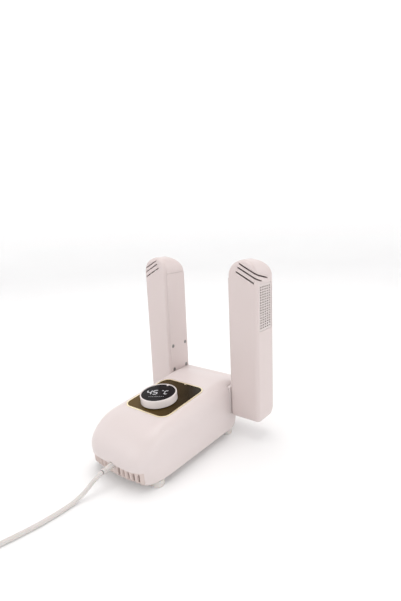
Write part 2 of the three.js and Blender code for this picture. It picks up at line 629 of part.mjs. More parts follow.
// ---- cord: strain relief, route, coil, tie and plug ----
const reliefTilt = THREE.MathUtils.degToRad(6);
const reliefLength = 22;
const reliefBase = new THREE.Vector3(0, frontY + 7.5, exitHeight + 0.35);
const strainRelief = () => {
  const g = latheSolid([
    [cordRadius + 0.6, 0], [reliefRadius, 0], [reliefRadius, 6], [3.6, reliefLength],
    [1.5, reliefLength], [1.5, 0.5],
  ], 20);
  const turn = new THREE.Matrix4().makeRotationX(Math.PI / 2 + reliefTilt);
  return solid(surface(g).applyMatrix4(turn).translate(reliefBase.x, reliefBase.y, reliefBase.z));
};
// Chosen by hand: out of the relief, down to the floor, forward, and round into the coil.
const cordRoute = [
  [0, -135.1, 22.9], [-0.4, -140, 21.7], [-1.5, -147, 18.1], [-2.6, -154, 13.5], [-3.6, -161, 9.2],
  [-4.4, -168, 5.9], [-5, -175, 3.9], [-5.4, -183, 3], [-5.6, -193, 2.85], [-6.2, -205, 2.85],
  [-7.6, -219, 2.85], [-10, -234, 2.85], [-13.4, -250, 2.85], [-17, -266, 2.85], [-19.8, -282, 2.85],
  [-21, -298, 2.85], [-21.4, -310, 2.85],
];
const coil = { x: -59.4, y: -310, middle: 32.4, width: 16.8, height: 16.8 };
const tailRoute = [
  [-59.4, -342.4, 14.05], [-69, -342.6, 14.1], [-79.5, -343, 13.9], [-87, -343.4, 12.2],
  [-93.5, -343.6, 9.6], [-100, -343.7, 8.2],
];
const tubeAlong = (route, sides, steps) => {
  const curve = new THREE.CatmullRomCurve3(route.map((p) => new THREE.Vector3(...p)), false, 'centripetal');
  const section = new THREE.Shape();
  for (let i = 0; i < sides; i += 1) {
    const turn = (2 * Math.PI * i) / sides;
    const [px, py] = [cordRadius * Math.cos(turn), cordRadius * Math.sin(turn)];
    if (i) section.lineTo(px, py);
    else section.moveTo(px, py);
  }
  return solid(new THREE.ExtrudeGeometry(section, { steps, bevelEnabled: false, extrudePath: curve }));
};
const coilRing = (grow) => {
  const [inner, outer] = [coil.middle - coil.width / 2 - grow, coil.middle + coil.width / 2 + grow];
  const ring = latheSolid([[inner, grow ? -5 : 0.05], [outer, grow ? -5 : 0.05], [outer, coil.height + grow],
    [inner, coil.height + grow]], 40);
  return ring.translate([coil.x, coil.y, 0]);
};
const plug = { x: -100.3, y: -343.7, length: 34, wide: 13, high: 8 };
const plugBody = () => {
  const s = new THREE.Shape();
  const { length, wide } = plug;
  s.moveTo(0, -4);
  s.lineTo(0, 4);
  s.lineTo(-8, 5.5);
  s.lineTo(-16, wide - 1);
  s.lineTo(-20, wide);
  s.lineTo(-length, wide);
  s.lineTo(-length, -wide);
  s.lineTo(-20, -wide);
  s.lineTo(-16, -wide + 1);
  s.lineTo(-8, -5.5);
  return raised(s, -plug.high, plug.high).translate([plug.x - gap, plug.y, plug.high + 0.05]);
};
const plugPin = (offset) => rod('x', plug.x - plug.length - 19, plug.x - plug.length - 2 * gap,
  [plug.y + offset, plug.high], 2.4, 12);
const coilTie = () => {
  const at = coil.middle;
  const half = coil.width / 2;
  const arch = cut(box(at - half - 1.6, at + half + 1.6, -5, 5, 0.1, coil.height + 1.6),
    box(at - half - 0.7, at + half + 0.7, -6, 6, -1, coil.height + gap));
  return arch.translate([coil.x, coil.y, 0]);
};

// ---- assembly ----
put('base_tray', baseTray(), whiteMatt);
put('upper_shell', upperShell(), whiteGloss);
put('hub_housing', hubHousing(), whiteGloss);
put('intake_grille', intakeGrille(), whiteMatt);

const panelGroup = new THREE.Group();
panelGroup.position.set(0, panelY, panelHeight);
panelGroup.rotation.x = slope;
dryer.add(panelGroup);
put('panel_bezel', panelBezel(), gold, panelGroup);
put('control_panel', controlPanel(), blackGlass, panelGroup);
put('control_board', controlBoard(), boardGreen, panelGroup);
put('press_switch', pressSwitch(), darkPlastic, panelGroup);
const knobGroup = new THREE.Group();
knobGroup.position.set(0, knobLocalY, 0);
panelGroup.add(knobGroup);
put('encoder_body', encoderBody(), darkPlastic, knobGroup);
put('knob_ring', knobRing(), whiteGloss, knobGroup);
put('display_lens', displayLens(), blackGlass, knobGroup);
put('display_module', displayModule(), darkPlastic, knobGroup);
put('display_stem', displayStem(), darkPlastic, knobGroup);

put('fan_frame', fanFrame(), darkPlastic);
put('fan_motor', fanMotor(), steel);
put('fan_impeller', fanImpeller(), darkPlastic);
put('heater_frame', heaterFrame(), darkPlastic);
put('heater_core', heaterCore(), aluminium);
put('thermal_cutoff', thermalCutoff(), steel);
put('air_duct', airDuct(), darkPlastic);
put('power_board', powerBoard(), boardGreen);
feetXY.forEach(([x, y], i) => put(`foot_${i + 1}`, foot(), softRubber).position.set(x, y, 0));
bossXY.forEach(([x, y], i) => put(`case_screw_${i + 1}`, caseScrew(), steel).position.set(x, y, 0));
makeArm('right', false);
makeArm('left', true);

put('strain_relief', strainRelief(), cordWhite);
put('cord_run', cut(tubeAlong(cordRoute, 8, 48), coilRing(gap)), cordWhite);
put('cord_coil', coilRing(0), cordWhite);
put('cord_tail', cut(tubeAlong(tailRoute, 8, 8), coilRing(gap)), cordWhite);
put('coil_tie', coilTie(), darkRubber);
put('plug_body', plugBody(), cordWhite);
put('plug_pin_1', plugPin(-9.5), brass);
put('plug_pin_2', plugPin(9.5), brass);

export default dryer;
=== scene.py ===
import json
import math
import bpy
import bmesh
import numpy as np
from mathutils import Matrix, Vector


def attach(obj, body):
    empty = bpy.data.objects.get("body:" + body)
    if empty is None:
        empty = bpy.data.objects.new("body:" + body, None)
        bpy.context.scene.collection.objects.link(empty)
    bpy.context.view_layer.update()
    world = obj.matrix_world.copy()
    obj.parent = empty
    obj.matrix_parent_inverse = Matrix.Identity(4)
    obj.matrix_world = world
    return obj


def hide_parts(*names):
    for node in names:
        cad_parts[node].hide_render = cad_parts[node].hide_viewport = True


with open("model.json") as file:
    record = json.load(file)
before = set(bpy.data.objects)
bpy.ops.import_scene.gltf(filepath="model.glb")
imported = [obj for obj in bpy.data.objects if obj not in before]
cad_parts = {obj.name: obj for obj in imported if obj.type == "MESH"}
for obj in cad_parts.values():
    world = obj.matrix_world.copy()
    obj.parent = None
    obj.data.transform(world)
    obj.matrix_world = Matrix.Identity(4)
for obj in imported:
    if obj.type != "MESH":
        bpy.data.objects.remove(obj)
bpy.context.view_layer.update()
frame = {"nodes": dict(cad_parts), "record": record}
scene = bpy.context.scene
scene.view_settings.view_transform = "Standard"
print("frame loaded:", len(frame["nodes"]), "nodes")

# Shapes are worked out in millimetres and put into the meshes in metres.
metre = 0.001


def linked(name, data):
    made = bpy.data.objects.new(name, data)
    scene.collection.objects.link(made)
    return made


# camera

view = {"place": (0.3897, -0.4110, 0.3298), "yaw": 38.28, "pitch": 10.90, "roll": -2.43, "lens": 23.77}


def setCamera():
    yaw, pitch, roll = (math.radians(view[key]) for key in ("yaw", "pitch", "roll"))
    ahead = Vector((-math.sin(yaw) * math.cos(pitch), math.cos(yaw) * math.cos(pitch), -math.sin(pitch)))
    level = Vector((math.cos(yaw), math.sin(yaw), 0))
    above = level.cross(ahead)
    right = level * math.cos(roll) + above * math.sin(roll)
    up = above * math.cos(roll) - level * math.sin(roll)
    data = bpy.data.cameras.new("mainView")
    data.lens = view["lens"]
    data.sensor_width = 36
    data.clip_start = 0.01
    camera = linked("mainView", data)
    turned = Matrix((right, up, -ahead)).transposed()
    camera.matrix_world = Matrix.Translation(view["place"]) @ turned.to_4x4()
    scene.camera = camera


setCamera()


# mesh helpers

def points(*values):
    # coordinates, given as arrays or numbers, put together as an array of points
    return np.stack(np.broadcast_arrays(*values), -1)


def fullTurn(count):
    return np.linspace(0, 2 * math.pi, count, endpoint=False)


def gridFaces(rings, perRing, along=False, caps=(True, True)):
    # quads between neighbouring rings, and one face over each open end
    i = np.arange(rings if along else rings - 1)[:, None]
    j = np.arange(perRing)[None, :]
    after, beside = (i + 1) % rings, (j + 1) % perRing
    corners = [i * perRing + j, i * perRing + beside, after * perRing + beside, after * perRing + j]
    faces = points(*corners).reshape(-1, 4).tolist()
    if not along and caps[0]:
        faces.append(list(range(perRing))[::-1])
    if not along and caps[1]:
        faces.append(list(range((rings - 1) * perRing, rings * perRing)))
    return faces


def meshObject(name, places, faces, recalculate=True):
    mergeWithin = 1e-6
    mesh = bpy.data.meshes.new(name)
    mesh.from_pydata((np.asarray(places, float).reshape(-1, 3) * metre).tolist(), [], faces)
    work = bmesh.new()
    work.from_mesh(mesh)
    bmesh.ops.remove_doubles(work, verts=work.verts, dist=mergeWithin)
    bmesh.ops.dissolve_degenerate(work, edges=work.edges, dist=mergeWithin)
    if recalculate:
        bmesh.ops.recalc_face_normals(work, faces=work.faces)
    work.to_mesh(mesh)
    work.free()
    return linked(name, mesh)


def sweep(name, rings, along=False, caps=(True, True)):
    # rings is an array of rings by points by three
    rings = np.asarray(rings, float)
    return meshObject(name, rings, gridFaces(rings.shape[0], rings.shape[1], along, caps))


def discard(piece):
    mesh = piece.data
    bpy.data.objects.remove(piece)
    bpy.data.meshes.remove(mesh)


def applied(piece):
    # the piece's modifiers become its mesh
    bpy.context.view_layer.update()
    graph = bpy.context.evaluated_depsgraph_get()
    mesh = bpy.data.meshes.new_from_object(piece.evaluated_get(graph))
    piece.modifiers.clear()
    spare, piece.data = piece.data, mesh
    bpy.data.meshes.remove(spare)
    return piece


def carve(piece, *cutters, operation="DIFFERENCE"):
    for cutter in cutters:
        modifier = piece.modifiers.new("carve", "BOOLEAN")
        modifier.operation = operation
        modifier.solver = "MANIFOLD"
        modifier.object = cutter
    applied(piece)
    for cutter in cutters:
        discard(cutter)
    return piece


def softened(piece, width, overAngle):
    # a narrow bevel along every edge that bends by more than an angle
    bevel = piece.modifiers.new("softEdges", "BEVEL")
    bevel.width = width * metre
    bevel.segments = 2
    bevel.limit_method = "ANGLE"
    bevel.angle_limit = math.radians(overAngle)
    return applied(piece)


def joined(name, parts):
    # several meshes in one, for a cutter or a group of small solids
    work = bmesh.new()
    for part in parts:
        work.from_mesh(part.data)
    mesh = bpy.data.meshes.new(name)
    work.to_mesh(mesh)
    work.free()
    for part in parts:
        discard(part)
    return linked(name, mesh)


def mirrored(piece, name):
    # the same shape on the other side of X = 0, faces turned back outwards
    mesh = piece.data.copy()
    mesh.transform(Matrix.Scale(-1, 4, (1, 0, 0)))
    mesh.flip_normals()
    mesh.name = name
    return linked(name, mesh)


def finish(piece, body, slot, *nodes, look=None, weighted=True):
    # smooth shading that stays sharp at real edges, then the material, the body and the CAD nodes shown
    sharpAngle = math.radians(38)
    mesh = piece.data
    mesh.polygons.foreach_set("use_smooth", np.ones(len(mesh.polygons), bool))
    mesh.set_sharp_from_angle(angle=sharpAngle)
    if weighted:
        modifier = piece.modifiers.new("evenShading", "WEIGHTED_NORMAL")
        modifier.keep_sharp = True
    mesh.materials.clear()
    mesh.materials.append(look or slotLooks[slot])
    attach(piece, body)
    if nodes:
        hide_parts(*nodes)
    return piece


def smooth(value, start, end):
    t = np.clip((value - start) / (end - start), 0, 1)
    return t * t * (3 - 2 * t)


def roundedRing(x0, x1, y0, y1, radii, cornerSteps, sideSteps=0):
    # a rectangle with round corners, from the lower left corner and anticlockwise; arrays give one ring each
    a, b, c, d = radii if isinstance(radii, (list, tuple)) else (radii,) * 4
    quarter = np.linspace(0, math.pi / 2, cornerSteps + 1)
    xs, ys = [], []
    places = ((x0 + a, y0 + a, a, 2), (x1 - b, y0 + b, b, 3), (x1 - c, y1 - c, c, 0), (x0 + d, y1 - d, d, 1))
    for x, y, r, turns in places:
        angle = quarter + turns * math.pi / 2
        x, y, r = (np.asarray(v, float)[..., None] for v in (x, y, r))
        xs.append(x + r * np.cos(angle))
        ys.append(y + r * np.sin(angle))
    if sideSteps:
        share = np.arange(1, sideSteps + 1) / (sideSteps + 1)
        for values in (xs, ys):
            ends = [v.copy() for v in values]
            for k in range(4):
                start, stop = ends[k][..., -1:], ends[(k + 1) % 4][..., :1]
                values[k] = np.concatenate([ends[k], start + (stop - start) * share], -1)
    return np.concatenate(xs, -1), np.concatenate(ys, -1)


def lathe(name, profile, sides, place):
    # a profile of radius and height carried round Z, then put in place by a function of x, y and z
    profile = np.asarray(profile, float)
    turn = fullTurn(sides)
    x = profile[:, :1] * np.cos(turn)
    y = profile[:, :1] * np.sin(turn)
    rings = points(*place(x, y, np.repeat(profile[:, 1:], sides, 1)))
    closed = np.allclose(profile[0], profile[-1])
    if closed:
        rings = rings[:-1]
    return sweep(name, rings, along=closed, caps=(profile[0][0] > 1e-6, profile[-1][0] > 1e-6))


def rod(name, radius, low, high, sides, place):
    return lathe(name, [(0, low), (radius, low), (radius, high), (0, high)], sides, place)


def arc(cx, cy, radius, start, end, steps):
    # points of a round corner, angles in degrees
    turn = np.radians(np.linspace(start, end, steps + 1))
    return [(cx + radius * math.cos(t), cy + radius * math.sin(t)) for t in turn]


def drawnX(name, outline, x0, x1):
    # an outline of Y and Z drawn along X
    y, z = np.asarray(outline, float).T
    return sweep(name, [points(x, y, z) for x in (x0, x1)])


def block(name, low, high):
    x, y = [low[0], high[0], high[0], low[0]], [low[1], low[1], high[1], high[1]]
    return sweep(name, [points(x, y, z) for z in (low[2], high[2])])


def aimedX(y0, z0, x0, side=1):
    # turns a lathe's axis along X, from x0 outwards on one side
    return lambda x, y, z: (x0 + side * z, y0 + x, z0 + y)


def movedBy(dx, dy, dz=0):
    return lambda x, y, z: (x + dx, y + dy, z + dz)


# shader helpers

class Wire:
    # one socket's value, so that shader maths reads as plain expressions
    def __init__(self, owner, socket):
        self.owner = owner
        self.socket = socket

    def maths(self, operation, *values):
        return self.owner.add("ShaderNodeMath", {"operation": operation}, dict(enumerate(values)))

    def __add__(self, other):
        return self.maths("ADD", self, other)

    def __radd__(self, other):
        return self.maths("ADD", other, self)

    def __sub__(self, other):
        return self.maths("SUBTRACT", self, other)

    def __rsub__(self, other):
        return self.maths("SUBTRACT", other, self)

    def __mul__(self, other):
        return self.maths("MULTIPLY", self, other)

    def __rmul__(self, other):
        return self.maths("MULTIPLY", other, self)

    def __pow__(self, other):
        return self.maths("POWER", self, other)

    def __rpow__(self, other):
        return self.maths("POWER", other, self)


class Finish:
    # a material: its fixed values go on the shader, its patterns come from object coordinates
    def __init__(self, name, fixed={}):
        self.material = bpy.data.materials.new(name)
        self.material.use_nodes = True
        self.tree = self.material.node_tree
        self.shader = self.tree.nodes["Principled BSDF"]
        for socket, value in fixed.items():
            self.shader.inputs[socket].default_value = value
        self.place = self.add("ShaderNodeTexCoord", {}, {}, "Object")

    def add(self, kind, settings, inputs, output=0):
        node = self.tree.nodes.new(kind)
        for key, value in settings.items():
            setattr(node, key, value)
        for key, value in inputs.items():
            if isinstance(value, Wire):
                self.tree.links.new(value.socket, node.inputs[key])
            else:
                node.inputs[key].default_value = value
        return Wire(self, node.outputs[output])

    def noise(self, scale, detail=2.0, roughness=0.5, place=None):
        inputs = {"Vector": place or self.place, "Scale": scale, "Detail": detail, "Roughness": roughness}
        return self.add("ShaderNodeTexNoise", {}, inputs)

    def stretched(self, x, y, z):
        return self.add("ShaderNodeMapping", {}, {"Vector": self.place, "Scale": (x, y, z)})

    def mix(self, first, second, share):
        # the Mix node's colour sockets: 6 and 7 in, 2 out
        first, second = (v if isinstance(v, Wire) else (*v, 1) for v in (first, second))
        return self.add("ShaderNodeMix", {"data_type": "RGBA"}, {0: share, 6: first, 7: second}, 2)

    def ramp(self, value, low, high):
        # 0 below low, 1 above high
        return self.add("ShaderNodeMapRange", {}, {0: value, 1: low, 2: high, 3: 0.0, 4: 1.0})

    def axis(self, letter):
        return self.add("ShaderNodeSeparateXYZ", {}, {0: self.place}, letter)

    def bump(self, height, strength, distance):
        inputs = {"Height": height, "Strength": strength, "Distance": distance}
        self.feed("Normal", self.add("ShaderNodeBump", {}, inputs))

    def feed(self, socket, wire):
        self.tree.links.new(wire.socket, self.shader.inputs[socket])


# finishes

whites = {
    "casingWhite": {"pale": (0.705, 0.634, 0.624), "deep": (0.678, 0.605, 0.594),
                    "rough": 0.34, "grain": 0.05},
    # painted shade: the arms get a darker, pinker copy of the casing's white, standing for the shade on their
    # faces
    "armWhiteShaded": {"pale": (0.67, 0.585, 0.571), "deep": (0.642, 0.558, 0.543), "rough": 0.38, "grain": 0.05},
    "knobWhite": {"pale": (0.76, 0.70, 0.685), "deep": (0.73, 0.672, 0.658), "rough": 0.25, "grain": 0.03},
    # painted shade: the grille's white is darkened and browned to stand for the shade in its recess under the
    # casing
    "trayWhiteShaded": {"pale": (0.66, 0.56, 0.53), "deep": (0.60, 0.495, 0.46), "rough": 0.55, "grain": 0.12},
    "ventWhite": {"pale": (0.66, 0.595, 0.58), "deep": (0.62, 0.555, 0.54), "rough": 0.5, "grain": 0.10},
}


def mouldedWhite(name):
    # injection-moulded plastic: slow cloudiness, a fine spark-eroded grain and, near the floor, noisy patches
    # that are darker, browner and rougher
    look = whites[name]
    f = Finish(name, {"Coat Weight": 0.18, "Coat Roughness": 0.2, "IOR": 1.46})
    cloud, grain = f.noise(11, 3), f.noise(1500, 3, 0.6)
    tone = f.mix(look["deep"], look["pale"], cloud)
    # darker, browner and rougher in noisy patches from the floor up to about 30 mm
    low = 1 - f.ramp(f.axis("Z"), 0.006, 0.03)
    darkerNearFloor = low * f.noise(160, 4) * 0.22
    f.feed("Base Color", f.mix(tone, (0.60, 0.53, 0.47), darkerNearFloor))
    f.feed("Roughness", look["rough"] + (grain - 0.5) * 0.12 + darkerNearFloor * 0.4)
    f.bump(grain * look["grain"] + f.noise(260, 2) * 0.12, 0.35, 0.0002)
    return f.material


def panelGlass():
    # back-printed acrylic: brown-black with a painted reflection (lighter brown at the left front, near black
    # at the right rear), a faint metallic fleck and finger smudges
    f = Finish("panelGlass", {"IOR": 1.14})
    fleck = f.noise(2600, 1) ** 5 * 1.5
    # painted reflection: the base colour runs from lighter brown at the left front to near black at the right
    # rear
    paintedReflection = f.ramp(f.axis("X") * 0.9 + f.axis("Y") * 0.8 + (f.noise(14, 3) - 0.5) * 0.03, -0.06, 0.035)
    base = f.mix((0.100, 0.060, 0.015), (0.012, 0.0075, 0.002), paintedReflection)
    f.feed("Base Color", f.mix(base, (0.16, 0.11, 0.05), fleck))
    f.feed("Roughness", 0.12 + f.noise(45, 4) * 0.10)
    f.bump(f.noise(60, 2), 0.05, 0.0002)
    return f.material


def lensGlass():
    f = Finish("lensGlass", {"IOR": 1.13})
    f.feed("Base Color", f.mix((0.004, 0.003, 0.004), (0.009, 0.007, 0.008), f.noise(70, 3)))
    f.feed("Roughness", 0.09 + f.noise(120, 3) * 0.08)
    return f.material


def digitGlow():
    f = Finish("digitGlow", {"Roughness": 0.5, "Emission Strength": 0.22})
    f.feed("Base Color", f.mix((0.38, 0.38, 0.39), (0.50, 0.50, 0.51), f.noise(900, 2)))
    f.feed("Emission Color", f.mix((0.78, 0.83, 0.90), (0.95, 0.97, 1.0), f.noise(500, 2)))
    return f.material


def rimGold():
    # pale gold plating, brushed along its length
    f = Finish("rimGold", {"Metallic": 1.0})
    streak = f.noise(1.0, 4, 0.7, f.stretched(900, 60, 60))
    f.feed("Base Color", f.mix((0.90, 0.78, 0.50), (1.0, 0.92, 0.68), streak))
    f.feed("Roughness", 0.24 + streak * 0.14)
    f.bump(streak, 0.08, 0.0001)
    return f.material


def darkNylon():
    f = Finish("darkNylon")
    grain = f.noise(1300, 3)
    f.feed("Base Color", f.mix((0.010, 0.010, 0.011), (0.022, 0.022, 0.024), f.noise(40, 3)))
    f.feed("Roughness", 0.52 + grain * 0.16)
    f.bump(grain, 0.25, 0.0002)
    return f.material


def solderMask():
    # green lacquer over copper tracks that run in two directions
    f = Finish("solderMask", {"Coat Weight": 0.4, "Coat Roughness": 0.1})
    wave = {"wave_type": "BANDS", "bands_direction": "X"}
    tracks = f.add("ShaderNodeTexWave", wave, {"Vector": f.place, "Scale": 90.0, "Distortion": 3.0}, "Fac")
    lines = f.ramp(tracks, 0.70, 0.80)
    pads = f.add("ShaderNodeTexVoronoi", {}, {"Vector": f.place, "Scale": 220.0}, "Distance")
    lacquer = f.mix((0.012, 0.085, 0.035), (0.03, 0.15, 0.07), lines)
    f.feed("Base Color", f.mix(lacquer, (0.62, 0.60, 0.52), 1 - f.ramp(pads, 0.08, 0.14)))
    f.feed("Roughness", 0.30 + f.noise(300, 2) * 0.2)
    f.bump(lines, 0.3, 0.0001)
    return f.material


def metal(name, pale, deep, rough, stretch):
    # drawn or brushed metal: streaks along one direction
    f = Finish(name, {"Metallic": 1.0})
    streak = f.noise(1.0, 5, 0.65, f.stretched(*stretch))
    f.feed("Base Color", f.mix(deep, pale, streak))
    f.feed("Roughness", rough + (streak - 0.5) * 0.2)
    f.bump(streak, 0.12, 0.0001)
    return f.material


def softRubber():
    f = Finish("footRubber", {"Subsurface Weight": 0.25, "Subsurface Scale": 0.003})
    grain = f.noise(900, 3)
    f.feed("Base Color", f.mix((0.56, 0.52, 0.49), (0.70, 0.665, 0.64), f.noise(120, 3)))
    f.feed("Roughness", 0.55 + grain * 0.2)
    f.bump(grain, 0.2, 0.0002)
    return f.material


def cordSheath():
    # PVC sheath: even colour, faint handling marks and a fine extrusion texture
    f = Finish("cordSheath", {"Subsurface Weight": 0.08, "Subsurface Scale": 0.002})
    marks = f.ramp(f.noise(70, 5, 0.65), 0.55, 0.9)
    f.feed("Base Color", f.mix((0.65, 0.62, 0.60), (0.53, 0.50, 0.47), marks * 0.5))
    f.feed("Roughness", 0.42 + f.noise(500, 3) * 0.18)
    f.bump(f.noise(1200, 2), 0.15, 0.0002)
    return f.material


def tieBand():
    # hook-and-loop band: a fine woven back
    f = Finish("tieBand", {"Sheen Weight": 0.4, "Sheen Roughness": 0.5})
    weave = {"wave_type": "BANDS", "bands_direction": "Y"}
    warp = f.add("ShaderNodeTexWave", weave, {"Vector": f.place, "Scale": 420.0, "Distortion": 1.0}, "Fac")
    f.feed("Base Color", f.mix((0.010, 0.010, 0.011), (0.045, 0.045, 0.048), warp * f.noise(1500, 2)))
    f.feed("Roughness", 0.8 + warp * 0.1)
    f.bump(warp, 0.5, 0.0003)
    return f.material


screwSteel = metal("screwSteel", (0.36, 0.35, 0.34), (0.22, 0.21, 0.20), 0.36, (400, 400, 400))
slotLooks = {
    "casing_white": mouldedWhite("casingWhite"), "arm_white": mouldedWhite("armWhiteShaded"),
    "knob_white": mouldedWhite("knobWhite"), "tray_white": mouldedWhite("trayWhiteShaded"),
    "vent_white": mouldedWhite("ventWhite"), "panel_black": panelGlass(), "lens_black": lensGlass(),
    "trim_gold": rimGold(), "inner_plastic": darkNylon(), "circuit_board": solderMask(),
    "foot_rubber": softRubber(), "cord_white": cordSheath(), "tie_rubber": tieBand(),
    "steel_parts": metal("platedSteel", (0.66, 0.66, 0.67), (0.50, 0.50, 0.51), 0.32, (60, 900, 900)),
    "heater_fins": metal("finAluminium", (0.80, 0.81, 0.82), (0.62, 0.63, 0.64), 0.35, (900, 60, 900)),
    "pin_brass": metal("pinBrass", (0.85, 0.68, 0.36), (0.66, 0.50, 0.24), 0.28, (60, 900, 900)),
}
for part in frame["record"]["subparts"]:
    node = frame["nodes"][part["node"]]
    node.data.materials.clear()
    node.data.materials.append(slotLooks[part["material_slot"]])
print("finishes made:", len(slotLooks))


# cord, its strain relief, tie and plug

cordLine = {"diameter": 5.5, "length": 1500, "spacing": 5.6, "turns": 6.25, "perTurn": 24}
cordRoute = [
    (0, -135.1, 22.9), (-0.4, -140, 21.7), (-1.5, -147, 18.1), (-2.6, -154, 13.5), (-3.6, -161, 9.2),
    (-4.4, -168, 5.9), (-5, -175, 3.9), (-5.4, -183, 3.0), (-5.6, -193, 2.85), (-6.2, -205, 2.85),
    (-7.6, -219, 2.85), (-10, -234, 2.85), (-13.4, -250, 2.85), (-17, -266, 2.85), (-19.8, -282, 2.85),
    (-21, -298, 2.85), (-21.4, -310, 2.85),
]
coil = {"x": -59.4, "y": -310, "middle": 32.4, "low": 2.85}
tailRoute = [
    (-69, -342.6, 14.1), (-79.5, -343, 13.9), (-87, -343.4, 12.2), (-93.5, -343.6, 9.6), (-100, -343.7, 8.2),
]


def coilTurns():
    # clockwise turns in three layers: inwards, outwards and inwards again, a spacing apart
    step = cordLine["spacing"]
    count = int(cordLine["turns"] * cordLine["perTurn"])
    turn = np.arange(1, count + 1) / cordLine["perTurn"]
    radius = coil["middle"] + step * (
        1 - smooth(turn, 0.70, 0.98) - smooth(turn, 1.70, 1.98) + smooth(turn, 3.38, 3.66)
        + smooth(turn, 4.38, 4.66) - smooth(turn, 5.80, 6.12))
    # where a turn climbs to the next layer it rolls over the turn beside it
    first, second = smooth(turn, 2.70, 2.98), smooth(turn, 5.38, 5.66)
    radius += step * (1 - first - np.cos(first * math.pi / 2))
    radius -= step * (1 - second - np.cos(second * math.pi / 2))
    height = coil["low"] + step * (np.sin(first * math.pi / 2) + np.sin(second * math.pi / 2))
    angle = -2 * math.pi * turn
    return points(coil["x"] + radius * np.cos(angle), coil["y"] + radius * np.sin(angle), height)


def throughPoints(places):
    # one smooth curve through every point, each span leaving along the line between its neighbours
    perSpan = 4
    p = np.asarray(places, float)
    p = np.vstack([2 * p[0] - p[1], p, 2 * p[-1] - p[-2]])
    t = (np.arange(perSpan) / perSpan)[None, :, None]
    a, b, c, d = (p[k:len(p) - 3 + k, None] for k in range(4))
    line = 0.5 * (2 * b + (c - a) * t + (2 * a - 5 * b + 4 * c - d) * t ** 2
                  + (3 * b - a - 3 * c + d) * t ** 3)
    return np.vstack([line.reshape(-1, 3), p[-2]])


def makeCord():
    line = throughPoints(np.vstack([cordRoute, coilTurns(), tailRoute])) * metre
    curve = bpy.data.curves.new("mainsCord", "CURVE")
    curve.dimensions = "3D"
    curve.bevel_depth = cordLine["diameter"] / 2 * metre
    curve.bevel_resolution = 5
    curve.use_fill_caps = True
    spline = curve.splines.new("POLY")
    spline.points.add(len(line) - 1)
    spline.points.foreach_set("co", np.hstack([line, np.ones((len(line), 1))]).ravel())
    spline.use_smooth = True
    curve.materials.append(slotLooks["cord_white"])
    cord = linked("mainsCord", curve)
    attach(cord, "base")
    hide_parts("cord_run", "cord_coil", "cord_tail")
    return cord


relief = {"base": (0, -112.5, 25.35), "tilt": 6.0, "length": 22, "radius": 4.3, "end": 3.55, "bore": 2.85,
          "grooves": 5}


def makeRelief():
    # tapered sleeve: a plain root, a stretch of shallow grooves and a small bead where the cord comes out
    z = np.linspace(0, relief["length"], 89)
    taper = relief["radius"] + (relief["end"] - relief["radius"]) * smooth(z, 5, relief["length"] - 2)
    groove = np.sin(np.clip((z - 8) / 10, 0, 1) * relief["grooves"] * 2 * math.pi - math.pi / 2) * 0.5 + 0.5
    bead = 0.45 * np.exp(-((z - relief["length"] + 1.4) / 0.9) ** 2)
    radius = taper - 0.32 * groove + bead
    radius[-1] -= 0.35
    inner = [(relief["bore"], relief["length"]), (relief["bore"], 0.4), (relief["radius"] - 0.6, 0)]
    profile = list(zip(radius, z)) + inner + [(radius[0], 0.0)]
    tilt = math.radians(90 + relief["tilt"])
    bx, by, bz = relief["base"]
    piece = lathe("strainRelief", profile, 40, lambda x, y, z: (
        bx + x, by + y * math.cos(tilt) - z * math.sin(tilt), bz + y * math.sin(tilt) + z * math.cos(tilt)))
    return finish(piece, "base", "cord_white", "strain_relief", weighted=False)


plug = {"x": -100.3, "y": -343.7, "z": 8.05, "length": 34, "neck": 4.1, "wide": 13, "high": 7.95, "pin": 19,
        "pinRadius": 2.4, "apart": 9.5}


def makePlug():
    # sections along X, from a round neck to a flat rounded body, with finger grooves on its sides
    s = np.concatenate([[0], plug["length"] * (1 - np.cos(np.linspace(0, math.pi, 70))) / 2])[1:]
    swell = smooth(s, 5, 21)
    rear = np.sqrt(np.clip(1 - np.clip((2.5 - (plug["length"] - s)) / 2.5, 0, 1) ** 2, 0, 1)) * 0.12 + 0.88
    front = np.sqrt(np.clip(1 - np.clip((1.2 - s) / 1.2, 0, 1) ** 2, 0, 1)) * 0.15 + 0.85
    grooves = 0.45 * (np.sin((s - 8) * 2 * math.pi / 3.2) * 0.5 + 0.5)
    grip = grooves * smooth(s, 7, 10) * (1 - smooth(s, 19, 23))
    wide = (plug["neck"] + (plug["wide"] - plug["neck"]) * swell - grip) * rear * front
    high = (plug["neck"] + (plug["high"] - plug["neck"]) * smooth(s, 3, 24)) * rear * front
    power = (2 / (2 + 2.2 * swell))[:, None]
    c, q = np.cos(fullTurn(64)), np.sin(fullTurn(64))
    y = plug["y"] + wide[:, None] * np.sign(c) * np.abs(c) ** power
    z = plug["z"] + high[:, None] * np.sign(q) * np.abs(q) ** power
    shape = sweep("plugBody", points((plug["x"] - s)[:, None], y, z))
    pieces = [finish(shape, "base", "cord_white", "plug_body")]
    r, end = plug["pinRadius"], plug["pin"]
    profile = [(0, -1), (r, -1), (r, end - 1.8)] + arc(0, end - r, r, 12, 90, 6)
    for number, offset in ((1, -plug["apart"]), (2, plug["apart"])):
        place = aimedX(plug["y"] + offset, plug["z"], plug["x"] - plug["length"], -1)
        pin = lathe(f"plugPin{number}", profile, 32, place)
        pieces.append(finish(pin, "base", "pin_brass", f"plug_pin_{number}"))
    return pieces


tie = {"width": 10, "thick": 0.9, "clear": 0.35, "high": 16.9, "foot": 0.15, "bend": 2.6}


